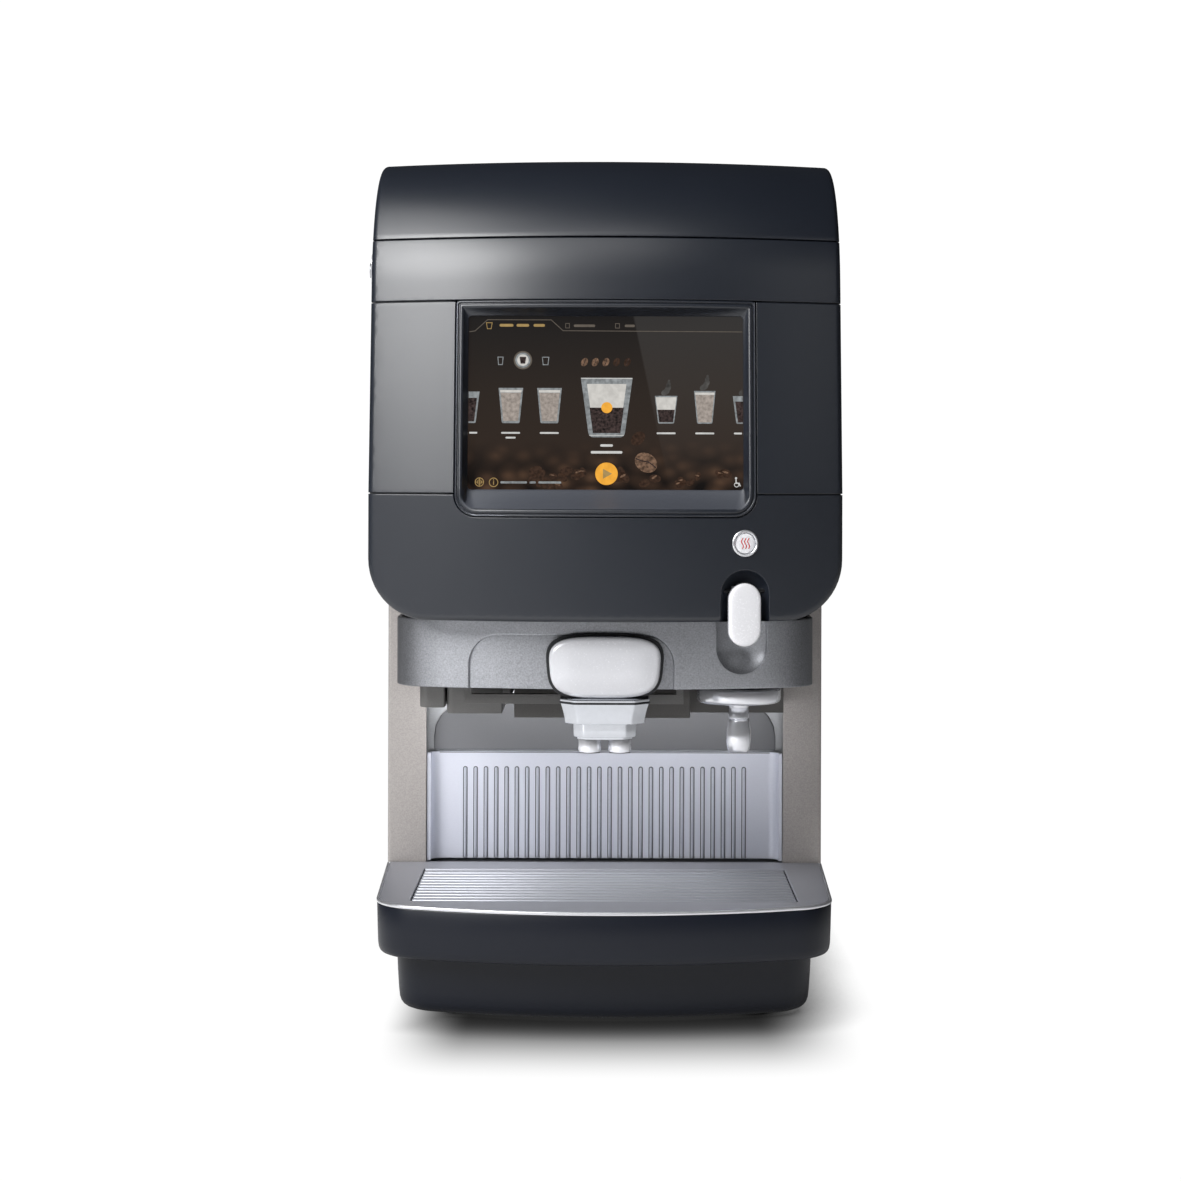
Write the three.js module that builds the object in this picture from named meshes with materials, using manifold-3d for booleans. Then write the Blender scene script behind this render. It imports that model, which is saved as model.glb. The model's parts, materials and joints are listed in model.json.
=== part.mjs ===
// Countertop hot coffee vending machine, built as separate pieces.
// Millimetres. Front faces -Y, +X is to the right seen from the front, +Z is up.
// The floor is z = 0 and the overall box is centred on x = 0, y = 0.

import * as THREE from 'three';
import { mergeVertices } from 'three/addons/utils/BufferGeometryUtils.js';
import Module from 'manifold-3d';

const wasm = await Module();
wasm.setup();

// Overall machine
const HALF_WIDTH = 189;
const BACK = 280;
const HEIGHT = 694;
const WALL = 3;
const GAP = 0.3;

// Head: the bowed, leaning front with the door
const HEAD_BOTTOM = 317;
const HEAD_CORNER = 48;
const FACE_SIDE_Y = -229;
const FACE_BOW = 36;
const LEAN_START = 417;
const LEAN_END = 588;
const LEAN_ANGLE = THREE.MathUtils.degToRad(7);
const EDGE_RADIUS = 4.5;
const DOOR_BACK = -151.5;
const SHELL_FRONT = -148;
const SHELL_BACK = -55.5;
const DOOR_TOP = 620.5;
const COVER_BOTTOM = 621.5;
const CHEEK_TOP = 569.5;
const CHEEK_BOTTOM = 417.5;

// Screen and its bezel
const BEZEL = { half: 118.6, low: 399.4, high: 570, cornerLow: 17, cornerHigh: 3 };
const SCREEN = { half: 109, low: 420.4, high: 558.2, bottomY: -241, topY: -229 };

// Hot-water controls on the door
const CONTROL_X = 109.7;
const BUTTON_Z = 378.8;
const LEVER_LOW = 297.5;
const LEVER_HIGH = 347.6;
const LEVER_PIVOT_Z = 341;
const LEVER_PIVOT_IN = 7;

// Door hinge and lock
const HINGE_X = 190;
const HINGE_Y = -150;
const KNUCKLE_RADIUS = 3;
const HINGE_ZS = [{ name: 'top', z: 560 }, { name: 'bottom', z: 372 }];
const LOCK_Y = -175;
const LOCK_Z = 598.5;
const LOCK_REACH = 36;
const LOCK_PIN_REACH = 30;

// Apron, dispensing parts and cup bay
const APRON = { half: 170, low: 261, high: 316, bow: 36, frontY: -229, back: -58, wall: 6 };
const RAIL_Y = -188;
const RAIL_Z = 250;
const NOZZLE = { x: 110, y: -169 };
const BACK_PLANE = -40;
const PANEL_FRONT = -55;

// Drip tray
const TRAY = { half: 189, frontHalf: 181, frontY: -280, back: -57.5, low: 51.4, high: 91 };
const GRID = { half: 154.25, front: -236, back: -90, slots: 12 };
const TRAY_TOP = 94;

// Plinth
const PLINTH = { half: 167, front: -250, back: 270, low: 3, high: 51, corner: 30 };

// Cooling fan on the rear panel
const FAN = { x: 90, z: 500, size: 92, bore: 41, front: 250, back: 275 };

// ---------------------------------------------------------------- solid helpers

function toSolid(geometry) {
  const bare = geometry.clone();
  bare.deleteAttribute('normal');
  bare.deleteAttribute('uv');
  const merged = mergeVertices(bare, 1e-4);
  return new wasm.Manifold(new wasm.Mesh({
    numProp: 3,
    vertProperties: new Float32Array(merged.attributes.position.array),
    triVerts: new Uint32Array(merged.index.array),
  }));
}

function toGeometry(solid) {
  const mesh = solid.getMesh();
  const geometry = new THREE.BufferGeometry();
  geometry.setAttribute('position', new THREE.Float32BufferAttribute(mesh.vertProperties, 3));
  geometry.setIndex(Array.from(mesh.triVerts));
  return geometry;
}

function block(x0, x1, y0, y1, z0, z1) {
  const geometry = new THREE.BoxGeometry(x1 - x0, y1 - y0, z1 - z0);
  geometry.translate((x0 + x1) / 2, (y0 + y1) / 2, (z0 + z1) / 2);
  return toSolid(geometry);
}

function joined(solids) {
  return solids.reduce((all, solid) => all.add(solid));
}

// Rounds each corner [x, y, radius] of a polygon with a short arc.
function rounded(corners, steps = 5) {
  const outline = [];
  corners.forEach(([x, y, radius = 0], index) => {
    const here = new THREE.Vector2(x, y);
    if (radius === 0) {
      outline.push(here);
      return;
    }
    const last = corners[(index + corners.length - 1) % corners.length];
    const next = corners[(index + 1) % corners.length];
    const toLast = new THREE.Vector2(last[0], last[1]).sub(here).normalize();
    const toNext = new THREE.Vector2(next[0], next[1]).sub(here).normalize();
    const half = Math.acos(toLast.dot(toNext)) / 2;
    const inward = toLast.clone().add(toNext).normalize();
    const centre = here.clone().addScaledVector(inward, radius / Math.sin(half));
    const start = here.clone().addScaledVector(toLast, radius / Math.tan(half)).sub(centre);
    const end = here.clone().addScaledVector(toNext, radius / Math.tan(half)).sub(centre);
    const sweep = Math.atan2(start.cross(end), start.dot(end));
    for (let step = 0; step <= steps; step++) {
      const turn = start.clone().rotateAround(new THREE.Vector2(), sweep * step / steps);
      outline.push(turn.add(centre));
    }
  });
  return outline;
}

function stadium(cx, cy, halfWidth, halfHeight, steps = 5) {
  const r = Math.min(halfWidth, halfHeight) * 0.999;
  return rounded([
    [cx - halfWidth, cy - halfHeight, r],
    [cx + halfWidth, cy - halfHeight, r],
    [cx + halfWidth, cy + halfHeight, r],
    [cx - halfWidth, cy + halfHeight, r],
  ], steps);
}

function extruded(outline, depth) {
  const shape = new THREE.Shape(outline);
  return new THREE.ExtrudeGeometry(shape, { depth, bevelEnabled: false });
}

// Outline in x, y pulled up from z0 to z1.
function planPrism(outline, z0, z1) {
  return toSolid(extruded(outline, z1 - z0).translate(0, 0, z0));
}

// Outline in x, z pushed from y0 back to y1.
function frontPrism(outline, y0, y1) {
  return toSolid(extruded(outline, y1 - y0).rotateX(Math.PI / 2).translate(0, y1, 0));
}

// Outline in y, z pushed from x0 across to x1.
function sidePrism(outline, x0, x1) {
  const basis = new THREE.Matrix4().makeBasis(
    new THREE.Vector3(0, 1, 0),
    new THREE.Vector3(0, 0, 1),
    new THREE.Vector3(1, 0, 0),
  );
  return toSolid(extruded(outline, x1 - x0).applyMatrix4(basis).translate(x0, 0, 0));
}

// Profile of [radius, z] points turned about the z axis.
function turned(profile, segments = 24) {
  const points = profile.map(([radius, z]) => new THREE.Vector2(radius, z));
  return toSolid(new THREE.LatheGeometry(points, segments).rotateX(Math.PI / 2));
}

function rod(radius, z0, z1, segments = 16) {
  return turned([[0, z0], [radius, z0], [radius, z1], [0, z1]], segments);
}

function capFaces(ring, offset, alongRing) {
  const box = new THREE.Box3().setFromPoints(ring);
  const size = box.getSize(new THREE.Vector3());
  const flat = ['x', 'y', 'z'].sort((a, b) => size[b] - size[a]).slice(0, 2);
  const contour = ring.map((point) => new THREE.Vector2(point[flat[0]], point[flat[1]]));
  const faces = THREE.ShapeUtils.triangulateShape(contour, []);
  const area = faces.reduce((sum, [a, b, c]) => {
    return sum + THREE.ShapeUtils.area([contour[a], contour[b], contour[c]]);
  }, 0);
  const sameWay = area * THREE.ShapeUtils.area(contour) > 0;
  return faces.flatMap(([a, b, c]) => {
    const face = sameWay === alongRing ? [a, b, c] : [a, c, b];
    return face.map((index) => index + offset);
  });
}

// Skins a solid over matching rings of points; a closed loft joins its last ring to its first.
function loft(rings, closed = false) {
  const count = rings[0].length;
  const faces = [];
  const spans = closed ? rings.length : rings.length - 1;
  for (let span = 0; span < spans; span++) {
    const here = span * count;
    const there = ((span + 1) % rings.length) * count;
    for (let k = 0; k < count; k++) {
      const next = (k + 1) % count;
      faces.push(here + k, here + next, there + next, here + k, there + next, there + k);
    }
  }
  if (!closed) {
    faces.push(...capFaces(rings[0], 0, false));
    faces.push(...capFaces(rings[rings.length - 1], (rings.length - 1) * count, true));
  }
  const points = rings.flat();
  let volume = 0;
  for (let f = 0; f < faces.length; f += 3) {
    const [a, b, c] = [points[faces[f]], points[faces[f + 1]], points[faces[f + 2]]];
    volume += a.dot(b.clone().cross(c));
  }
  if (volume < 0) {
    faces.reverse();
  }
  const geometry = new THREE.BufferGeometry().setFromPoints(points);
  geometry.setIndex(faces);
  return toSolid(geometry);
}

// Round pipe of the given radius through a list of points.
function pipe(points, radius, pathSteps = 24) {
  const path = new THREE.CatmullRomCurve3(points, false, 'catmullrom', 0.12);
  const section = new THREE.Shape();
  section.absarc(0, 0, radius, 0, Math.PI * 2);
  return toSolid(new THREE.ExtrudeGeometry(section, {
    steps: pathSteps,
    curveSegments: 4,
    extrudePath: path,
  }));
}

// ---------------------------------------------------------------- head surface

function leanAt(z) {
  const straight = Math.tan(LEAN_ANGLE) * (LEAN_END - LEAN_START);
  if (z <= LEAN_START) {
    return 0;
  }
  if (z <= LEAN_END) {
    return Math.tan(LEAN_ANGLE) * (z - LEAN_START);
  }
  const radius = (HEIGHT - LEAN_END) / (1 - Math.sin(LEAN_ANGLE));
  const angle = Math.asin(Math.min(1, (z - HEIGHT + radius) / radius));
  return straight + radius * (Math.cos(LEAN_ANGLE) - Math.cos(angle));
}

function bowAt(x) {
  return FACE_BOW * (1 - (x / HALF_WIDTH) ** 2);
}

function faceY(x, z) {
  return FACE_SIDE_Y + leanAt(z) - bowAt(x);
}

// Side profile of the head, as y, z points, pulled in by the inset.
function headProfile(inset) {
  const straight = Math.tan(LEAN_ANGLE) * (LEAN_END - LEAN_START);
  const radius = (HEIGHT - LEAN_END) / (1 - Math.sin(LEAN_ANGLE));
  const front = [[inset, HEAD_BOTTOM - 20], [inset, LEAN_START]];
  const steps = 8;
  for (let step = 0; step <= steps; step++) {
    const angle = LEAN_ANGLE + (Math.PI / 2 - LEAN_ANGLE) * step / steps;
    const lean = straight + radius * Math.cos(LEAN_ANGLE) - (radius - inset) * Math.cos(angle);
    front.push([lean, HEIGHT - radius + (radius - inset) * Math.sin(angle)]);
  }
  const back = [[BACK - inset, HEIGHT - inset], [BACK - inset, HEAD_BOTTOM - 20]];
  return { front, back };
}

function headRing(x, inset) {
  const { front, back } = headProfile(inset);
  return [
    ...front.map(([lean, z]) => new THREE.Vector3(x, FACE_SIDE_Y + lean - bowAt(x), z)),
    ...back.map(([y, z]) => new THREE.Vector3(x, y, z)),
  ];
}

function headOutline(inset) {
  const half = HALF_WIDTH - inset;
  const corner = HEAD_CORNER - inset;
  return rounded([
    [-half, HEAD_BOTTOM + inset, corner],
    [half, HEAD_BOTTOM + inset, corner],
    [half, HEIGHT + 10],
    [-half, HEIGHT + 10],
  ], 7);
}

// The whole head as a solid, its long side edges softened.
function headForm(inset) {
  const edge = EDGE_RADIUS - inset * 0.6;
  const flat = HALF_WIDTH - inset - edge;
  const stations = [];
  for (let step = 0; step <= 12; step++) {
    stations.push({ x: -flat + 2 * flat * step / 12, extra: 0 });
  }
  for (const degrees of [30, 60, 90]) {
    const angle = THREE.MathUtils.degToRad(degrees);
    const x = flat + edge * Math.sin(angle);
    const extra = edge * (1 - Math.cos(angle));
    stations.push({ x, extra });
    stations.unshift({ x: -x, extra });
  }
  const form = loft(stations.map(({ x, extra }) => headRing(x, inset + extra)));
  return form.intersect(frontPrism(headOutline(inset), -310, 310));
}

const headSkin = headForm(0).subtract(headForm(WALL));

function hingeClearance() {
  const cut = rod(KNUCKLE_RADIUS + 0.4, -26, 26, 20);
  return joined(HINGE_ZS.map(({ z }) => cut.translate([HINGE_X, HINGE_Y, z])));
}

const doorSkin = headSkin
  .intersect(block(-200, 200, -300, DOOR_BACK, 300, DOOR_TOP))
  .subtract(hingeClearance());

// ---------------------------------------------------------------- cabinet

function plinthRing(z, inset) {
  const { half, front, back, corner } = PLINTH;
  const w = half - inset;
  const outline = rounded([
    [-w, back - inset, corner],
    [-w, front + 26 + inset, corner],
    [-w * 0.5, front + 6 + inset],
    [0, front + inset],
    [w * 0.5, front + 6 + inset],
    [w, front + 26 + inset, corner],
    [w, back - inset, corner],
  ]);
  return outline.map((point) => new THREE.Vector3(point.x, point.y, z));
}

// Hollow plinth, open underneath, its deck reaching out below the side panels.
function basePlinth() {
  const { low, high } = PLINTH;
  const outer = loft([
    plinthRing(low, 10),
    plinthRing(low + 3, 5),
    plinthRing(low + 10, 2),
    plinthRing(high, 0),
  ]);
  const inner = loft([plinthRing(low - 1, 13.5), plinthRing(low + 10, 6), plinthRing(high - WALL, 4)]);
  const deck = block(-186, 186, PANEL_FRONT + 1, BACK - 4, high - WALL, high);
  return outer.subtract(inner).add(deck);
}

function foot() {
  return turned([[0, 0], [14, 0], [14, 5], [5, 7], [5, 47.6], [0, 47.6]], 16);
}

function sidePanel() {
  const flangeIn = 155.5;
  return planPrism(rounded([
    [flangeIn, PANEL_FRONT],
    [HALF_WIDTH, PANEL_FRONT, 2.5],
    [HALF_WIDTH, BACK, 2.5],
    [HALF_WIDTH - WALL, BACK],
    [HALF_WIDTH - WALL, BACK - 3.3],
    [HALF_WIDTH - 13, BACK - 3.3],
    [HALF_WIDTH - 13, BACK - 6.3],
    [HALF_WIDTH - WALL, BACK - 6.3],
    [HALF_WIDTH - WALL, PANEL_FRONT + WALL],
    [flangeIn, PANEL_FRONT + WALL],
  ], 3), PLINTH.high + GAP, DOOR_TOP);
}

function rearPanel() {
  const half = HALF_WIDTH - WALL - GAP;
  const slot = (x, z, w) => frontPrism(stadium(x, z, w, 2.5, 2), BACK - 10, BACK + 10);
  const slots = [];
  for (let row = 0; row < 7; row++) {
    slots.push(slot(FAN.x, FAN.z - 36 + row * 12, 38));
    slots.push(slot(-95, 130 + row * 12, 45));
  }
  return block(-half, half, BACK - WALL, BACK, PLINTH.high + GAP, DOOR_TOP)
    .subtract(joined(slots))
    .subtract(block(103.6, 152.4, 270, 290, 71.6, 100.4))
    .subtract(rod(14.4, -10, 10).rotate([90, 0, 0]).translate([-140, BACK, 86]));
}

function topCover() {
  return headSkin.intersect(block(-200, 200, -300, 300, COVER_BOTTOM, HEIGHT + 5));
}

function headShell() {
  const channel = headSkin.intersect(block(-200, 200, SHELL_FRONT, SHELL_BACK, 300, DOOR_TOP));
  const flange = frontPrism(headOutline(WALL - 0.5), SHELL_FRONT, SHELL_FRONT + 2)
    .subtract(frontPrism(headOutline(13), SHELL_FRONT - 5, SHELL_FRONT + 5))
    .intersect(block(-200, 200, -200, 0, 300, DOOR_TOP))
    .subtract(block(-185.9, -170, -160, -130, LOCK_Z - 12, LOCK_Z + 12));
  return channel.add(flange).subtract(hingeClearance());
}

function apronFront(x) {
  return APRON.frontY + APRON.bow * (x / HALF_WIDTH) ** 2;
}

function apronOutline(inset) {
  const half = APRON.half - inset;
  const front = [-120, -80, -40, 0, 40, 80, 120].map((x) => [x, apronFront(x) + inset]);
  return rounded([
    [-half, APRON.back],
    [-half, apronFront(half) + inset, 35 - inset],
    ...front,
    [half, apronFront(half) + inset, 35 - inset],
    [half, APRON.back],
  ], 6);
}

function apron() {
  const { low, high, wall } = APRON;
  const outside = planPrism(apronOutline(0), low, high);
  const inside = planPrism(apronOutline(wall), low - 1, high + 1).add(
    block(wall - APRON.half, APRON.half - wall, APRON.back - 10, APRON.back + 10, low - 1, high + 1),
  );
  const travel = frontPrism(rounded([[-109, 250], [55, 250], [55, 304, 22], [-109, 304, 22]]), -260, -150)
    .subtract(planPrism(apronOutline(2.5), low - 5, high + 5));
  const scoopY = apronFront(CONTROL_X);
  const scoopBack = block(86, 133, scoopY, scoopY + 15, 268, high).intersect(outside);
  const scoop = frontPrism(rounded([[89, 340], [129, 340], [129, 273.4, 19.9], [89, 273.4, 19.9]]),
    -260, scoopY + 10);
  return outside.subtract(inside).add(scoopBack).subtract(travel).subtract(scoop);
}

function dispenseCeiling() {
  const clear = (x, y) => rod(8, 250, 280, 20).translate([x, y, 0]);
  const backing = block(80, 139, -230, apronFront(CONTROL_X) + 15.6, 250, 280);
  return planPrism(apronOutline(APRON.wall + GAP), 262, 265)
    .subtract(clear(NOZZLE.x, NOZZLE.y))
    .subtract(clear(-100, -130))
    .subtract(backing);
}

// Plate across the back of the cup bay, with upright beads and forward-turned side edges.
function splashPlate() {
  const pitch = 9.06;
  const beads = [];
  for (let bead = 27; bead >= 0; bead--) {
    const x = (bead - 13.5) * pitch;
    beads.push([x + 2, BACK_PLANE], [x + 1, BACK_PLANE - 1.2], [x - 1, BACK_PLANE - 1.2], [x - 2, BACK_PLANE]);
  }
  const beaded = planPrism([
    ...beads.map(([x, y]) => new THREE.Vector2(x, y)),
    new THREE.Vector2(-130, BACK_PLANE),
    new THREE.Vector2(-130, BACK_PLANE + 3),
    new THREE.Vector2(130, BACK_PLANE + 3),
    new THREE.Vector2(130, BACK_PLANE),
  ], 94.6, 174.3);
  const plate = planPrism(rounded([
    [-154.9, -52], [-154.9, BACK_PLANE + 3, 12], [154.9, BACK_PLANE + 3, 12], [154.9, -52],
    [151.9, -52], [151.9, BACK_PLANE, 9], [-151.9, BACK_PLANE, 9], [-151.9, -52],
  ], 4), 94.6, 188);
  return plate.add(beaded);
}

function upperBackPanel() {
  return frontPrism(rounded([
    [-150, 189.6], [150, 189.6], [150, 231.5, 30], [-150, 231.5, 30],
  ]), BACK_PLANE, BACK_PLANE + WALL);
}

function bulkhead() {
  const half = HALF_WIDTH - WALL - GAP;
  const hole = rod(9, -20, 20).rotate([90, 0, 0]);
  return block(-half, half, -36, -33, PLINTH.high + GAP, 316.9)
    .subtract(hole.translate([NOZZLE.x, -34.5, 290]));
}

function midDeck() {
  const half = HALF_WIDTH - WALL - GAP;
  const front = planPrism([
    new THREE.Vector2(-155, -55.2),
    new THREE.Vector2(155, -55.2),
    new THREE.Vector2(155, -51.6),
    new THREE.Vector2(half, -51.6),
    new THREE.Vector2(half, 273.3),
    new THREE.Vector2(-half, 273.3),
    new THREE.Vector2(-half, -51.6),
    new THREE.Vector2(-155, -51.6),
  ], 317.3, 320.3);
  return front;
}

function mixerCover() {
  const main = frontPrism(rounded([[-132, 261.6], [-132, 232.5, 12], [-75, 232.5], [-75, 261.6]]), -172, -56);
  const side = frontPrism(rounded([[-153.5, 261.6], [-153.5, 236, 6], [-131, 236], [-131, 261.6]]), -160, -56);
  return main.add(side);
}

function underHeadHousing() {
  return block(-74.4, 70, -172, -56, 232.5, 261.6).add(block(60, 150, -130, -56, 232.5, 261.6));
}

// Square bar that the coffee outlet slides along, hung from the ceiling by two posts.
function outletRail() {
  const bar = block(-114, 64, RAIL_Y - 4, RAIL_Y + 4, RAIL_Z - 4, RAIL_Z + 4);
  const post = (x) => block(x, x + 6, RAIL_Y - 4, RAIL_Y + 4, RAIL_Z, 261.7);
  return joined([bar, post(-114), post(58)]);
}

function hotWaterCollar() {
  return turned([
    [0, 245.5], [33, 245.5], [34.5, 247], [34.5, 257.5], [33, 259], [12, 259], [12, 261.6], [0, 261.6],
  ], 28).translate([NOZZLE.x, NOZZLE.y, 0]);
}

function hotWaterNozzle() {
  return turned([
    [0, 204], [6, 204], [8.5, 205.5], [10.3, 212], [9.2, 231], [7.6, 232], [8.5, 233], [8.5, 245.2], [0, 245.2],
  ], 20).translate([NOZZLE.x, NOZZLE.y, 0]);
}

// ---------------------------------------------------------------- inside the cabinet

// Boiler vessel welded to a ring foot.
function boilerTank() {
  const tank = turned([
    [0, 68], [30, 70], [50, 78], [58, 92], [58, 232], [50, 246], [30, 253], [12, 254], [12, 258], [0, 258],
  ], 20);
  const foot = rod(50, PLINTH.high + GAP, 60, 24).subtract(rod(38, 40, 90, 24));
  const legs = [0, 120, 240].map((turn) => block(40, 48, -6, 6, 58, 84).rotate([0, 0, turn]));
  return joined([tank, foot, ...legs]).translate([-95, 120, 0]);
}

function waterPump() {
  const barrel = rod(24, -38, 38, 20).rotate([0, 90, 0]);
  const head = rod(16, 36, 62, 16).rotate([0, 90, 0]);
  const base = block(-32, 32, -20, 20, -33.5, -20);
  return joined([barrel, head, base]).translate([4, 190, 85]);
}

function inletValve() {
  const body = block(-158, -122, 226, 262, 72, 100);
  const coil = rod(13, 95, 128, 20).translate([-140, 244, 0]);
  const stub = rod(14, -18, 0, 20).rotate([90, 0, 0]).translate([-140, 262, 86]);
  const bore = rod(8, -18, -6, 16).rotate([90, 0, 0]).translate([-140, 262.5, 86]);
  return joined([body, coil, stub]).subtract(bore);
}

function powerInlet() {
  const shell = block(104, 152, 252, BACK, 72, 100);
  const socket = frontPrism(rounded([[114, 76, 1], [142, 76, 1], [142, 92, 4], [114, 92, 4]], 2), 264, 290);
  const pin = block(127, 129, 262, 276, 82, 88);
  return shell.subtract(socket).add(pin).add(pin.translate([-7, 0, -2])).add(pin.translate([7, 0, -2]));
}

function powerSupply() {
  const can = block(75, 168, 20, 215, 51.4, 106);
  const lid = block(81, 162, 26, 209, 105, 112);
  return can.add(lid);
}

function controlBoard() {
  const board = block(-165, -15, 262, 263.6, 400, 560);
  const chips = [
    block(-150, -126, 250, 263, 420, 445),
    block(-100, -70, 256, 263, 470, 500),
    block(-60, -30, 244, 263, 520, 550),
    block(-150, -110, 252, 263, 530, 545),
  ];
  const spacers = [[-158, 407], [-22, 407], [-158, 553], [-22, 553]].map(([x, z]) => {
    return block(x - 3, x + 3, 263, 276.6, z - 3, z + 3);
  });
  return joined([board, ...chips, ...spacers]);
}

function fanFrame() {
  const { x, z, size, bore, front, back } = FAN;
  const body = frontPrism(rounded([
    [-size / 2, -size / 2, 6], [size / 2, -size / 2, 6], [size / 2, size / 2, 6], [-size / 2, size / 2, 6],
  ], 3), front, back);
  const well = rod(bore, -back - 5, 5 - front, 32).rotate([90, 0, 0]);
  const strut = block(-bore - 2, bore + 2, back - 3, back, -3, 3);
  const spindle = rod(2, -back, -front - 6, 12).rotate([90, 0, 0]);
  return joined([body.subtract(well), strut.rotate([0, 45, 0]), strut.rotate([0, -45, 0]), spindle])
    .translate([x, 0, z]);
}

function fanRotor() {
  const { x, z, front, back } = FAN;
  const hub = rod(14, -back + 5, -front - 3, 20).rotate([90, 0, 0]);
  const bore = rod(2.5, -back, -front - 4.5, 12).rotate([90, 0, 0]);
  const blades = [];
  for (let blade = 0; blade < 7; blade++) {
    const plate = block(-8, 8, -0.8, 0.8, 12, 38.5).rotate([0, 0, 35]);
    blades.push(plate.translate([0, (front + back) / 2 - 1, 0]).rotate([0, blade * 360 / 7, 0]));
  }
  return joined([hub, ...blades]).subtract(bore).translate([x, 0, z]);
}

function packShelf() {
  const plate = block(-150, 150, -125, 75, 380.3, 383.3);
  const legs = block(147, 150, -51, 75, 320.6, 381).add(block(-150, -147, -51, 75, 320.6, 381));
  const neck = (x) => rod(13, 370, 390, 20).translate([x, -80, 0]);
  return plate.add(legs).subtract(neck(-67)).subtract(neck(67));
}

// Right-hand carton of concentrate, neck down.
function concentratePack() {
  const carton = frontPrism(rounded([[12, 383.7, 3], [122, 383.7, 3], [122, 600, 3], [12, 600, 3]], 2), -118, 68);
  const neck = rod(11, 374, 385, 20).translate([67, -80, 0]);
  return carton.add(neck);
}

// Right-hand metering pump below the carton.
function dosingUnit() {
  const body = block(36, 98, -112, -50, 321, 370);
  const socket = rod(16, 369, 373.6, 20).translate([67, -80, 0]);
  const motor = rod(18, -20, 52, 20).rotate([90, 0, 0]).translate([67, 0, 345]);
  return joined([body, socket, motor]);
}

function mixingChamber() {
  return turned([
    [0, 265.4], [5, 265.4], [5, 270], [20, 280], [22, 284], [22, 306], [18, 311], [0, 311],
  ], 16).translate([-100, -130, 0]);
}

function hotWaterPipe() {
  return pipe([
    new THREE.Vector3(-95, 120, 258.4),
    new THREE.Vector3(-95, 120, 276),
    new THREE.Vector3(-82, 112, 290),
    new THREE.Vector3(88, 30, 290),
    new THREE.Vector3(108, 14, 290),
    new THREE.Vector3(110, -8, 290),
    new THREE.Vector3(110, -150, 290),
    new THREE.Vector3(110, -164, 286),
    new THREE.Vector3(110, -169, 274),
    new THREE.Vector3(110, -169, 262),
  ], 4, 26);
}

// ---------------------------------------------------------------- door

function frameOutline({ half, low, high, cornerLow, cornerHigh }) {
  const points = [];
  const arc = (cx, cz, radius, from) => {
    for (let step = 1; step < 5; step++) {
      const angle = THREE.MathUtils.degToRad(from + 18 * step);
      points.push([cx + radius * Math.cos(angle), cz + radius * Math.sin(angle)]);
    }
  };
  const line = (x0, z0, x1, z1, steps) => {
    for (let step = 0; step <= steps; step++) {
      points.push([x0 + (x1 - x0) * step / steps, z0 + (z1 - z0) * step / steps]);
    }
  };
  line(cornerLow - half, low, half - cornerLow, low, 8);
  arc(half - cornerLow, low + cornerLow, cornerLow, -90);
  line(half, low + cornerLow, half, high - cornerHigh, 3);
  arc(half - cornerHigh, high - cornerHigh, cornerHigh, 0);
  line(half - cornerHigh, high, cornerHigh - half, high, 8);
  arc(cornerHigh - half, high - cornerHigh, cornerHigh, 90);
  line(-half, high - cornerHigh, -half, low + cornerLow, 3);
  arc(cornerLow - half, low + cornerLow, cornerLow, 180);
  return points;
}

function screenY(z) {
  const { low, high, bottomY, topY } = SCREEN;
  return bottomY + (z - low) * (topY - bottomY) / (high - low);
}

// Sloped frame that funnels from the bowed face down to the flat screen.
function screenBezel() {
  const outer = frameOutline(BEZEL);
  const inner = frameOutline({ ...SCREEN, cornerLow: 3, cornerHigh: 3 });
  const ring = (points, depth) => points.map(([x, z]) => new THREE.Vector3(x, depth(x, z), z));
  return loft([
    ring(outer, (x, z) => faceY(x, z) - 0.8),
    ring(inner, (x, z) => screenY(z) - 2.2),
    ring(inner, (x, z) => screenY(z) - 0.4),
    ring(outer, (x, z) => faceY(x, z) + 3.4),
  ], true);
}

function bezelHole() {
  const grow = 0.6;
  return frontPrism(rounded([
    [-BEZEL.half - grow, BEZEL.low - grow, BEZEL.cornerLow + grow],
    [BEZEL.half + grow, BEZEL.low - grow, BEZEL.cornerLow + grow],
    [BEZEL.half + grow, BEZEL.high + grow],
    [-BEZEL.half - grow, BEZEL.high + grow],
  ]), -300, -190);
}

function leaningPlate(half, low, high, near, far) {
  return sidePrism([
    new THREE.Vector2(screenY(low) + near, low),
    new THREE.Vector2(screenY(low) + far, low),
    new THREE.Vector2(screenY(high) + far, high),
    new THREE.Vector2(screenY(high) + near, high),
  ], -half, half);
}

function upperFascia() {
  const lockHole = rod(6.5, -20, 20).rotate([0, 90, 0]).translate([-HALF_WIDTH, LOCK_Y, LOCK_Z]);
  return doorSkin.intersect(block(-200, 200, -300, -100, CHEEK_TOP + 1, DOOR_TOP)).subtract(lockHole);
}

function cheek(side) {
  const inner = BEZEL.half + 0.6;
  const span = side > 0 ? block(inner, 200, -300, -100, CHEEK_BOTTOM, CHEEK_TOP)
    : block(-200, -inner, -300, -100, CHEEK_BOTTOM, CHEEK_TOP);
  return doorSkin.intersect(span);
}

// Moves a solid built about the z axis, face at y = 0, onto the bowed door beside the screen.
function onDoor(solid) {
  const slope = 2 * FACE_BOW * CONTROL_X / HALF_WIDTH ** 2;
  const tilt = THREE.MathUtils.radToDeg(Math.atan(slope));
  return solid.rotate([0, 0, tilt]).translate([CONTROL_X, faceY(CONTROL_X, HEAD_BOTTOM), 0]);
}

function leverSlot(grow, depth) {
  const half = 19.2 + grow;
  return frontPrism(rounded([
    [-half, 290], [half, 290], [half, 357.6 + grow, half - 0.1], [-half, 357.6 + grow, half - 0.1],
  ], 8), -8, depth);
}

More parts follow.
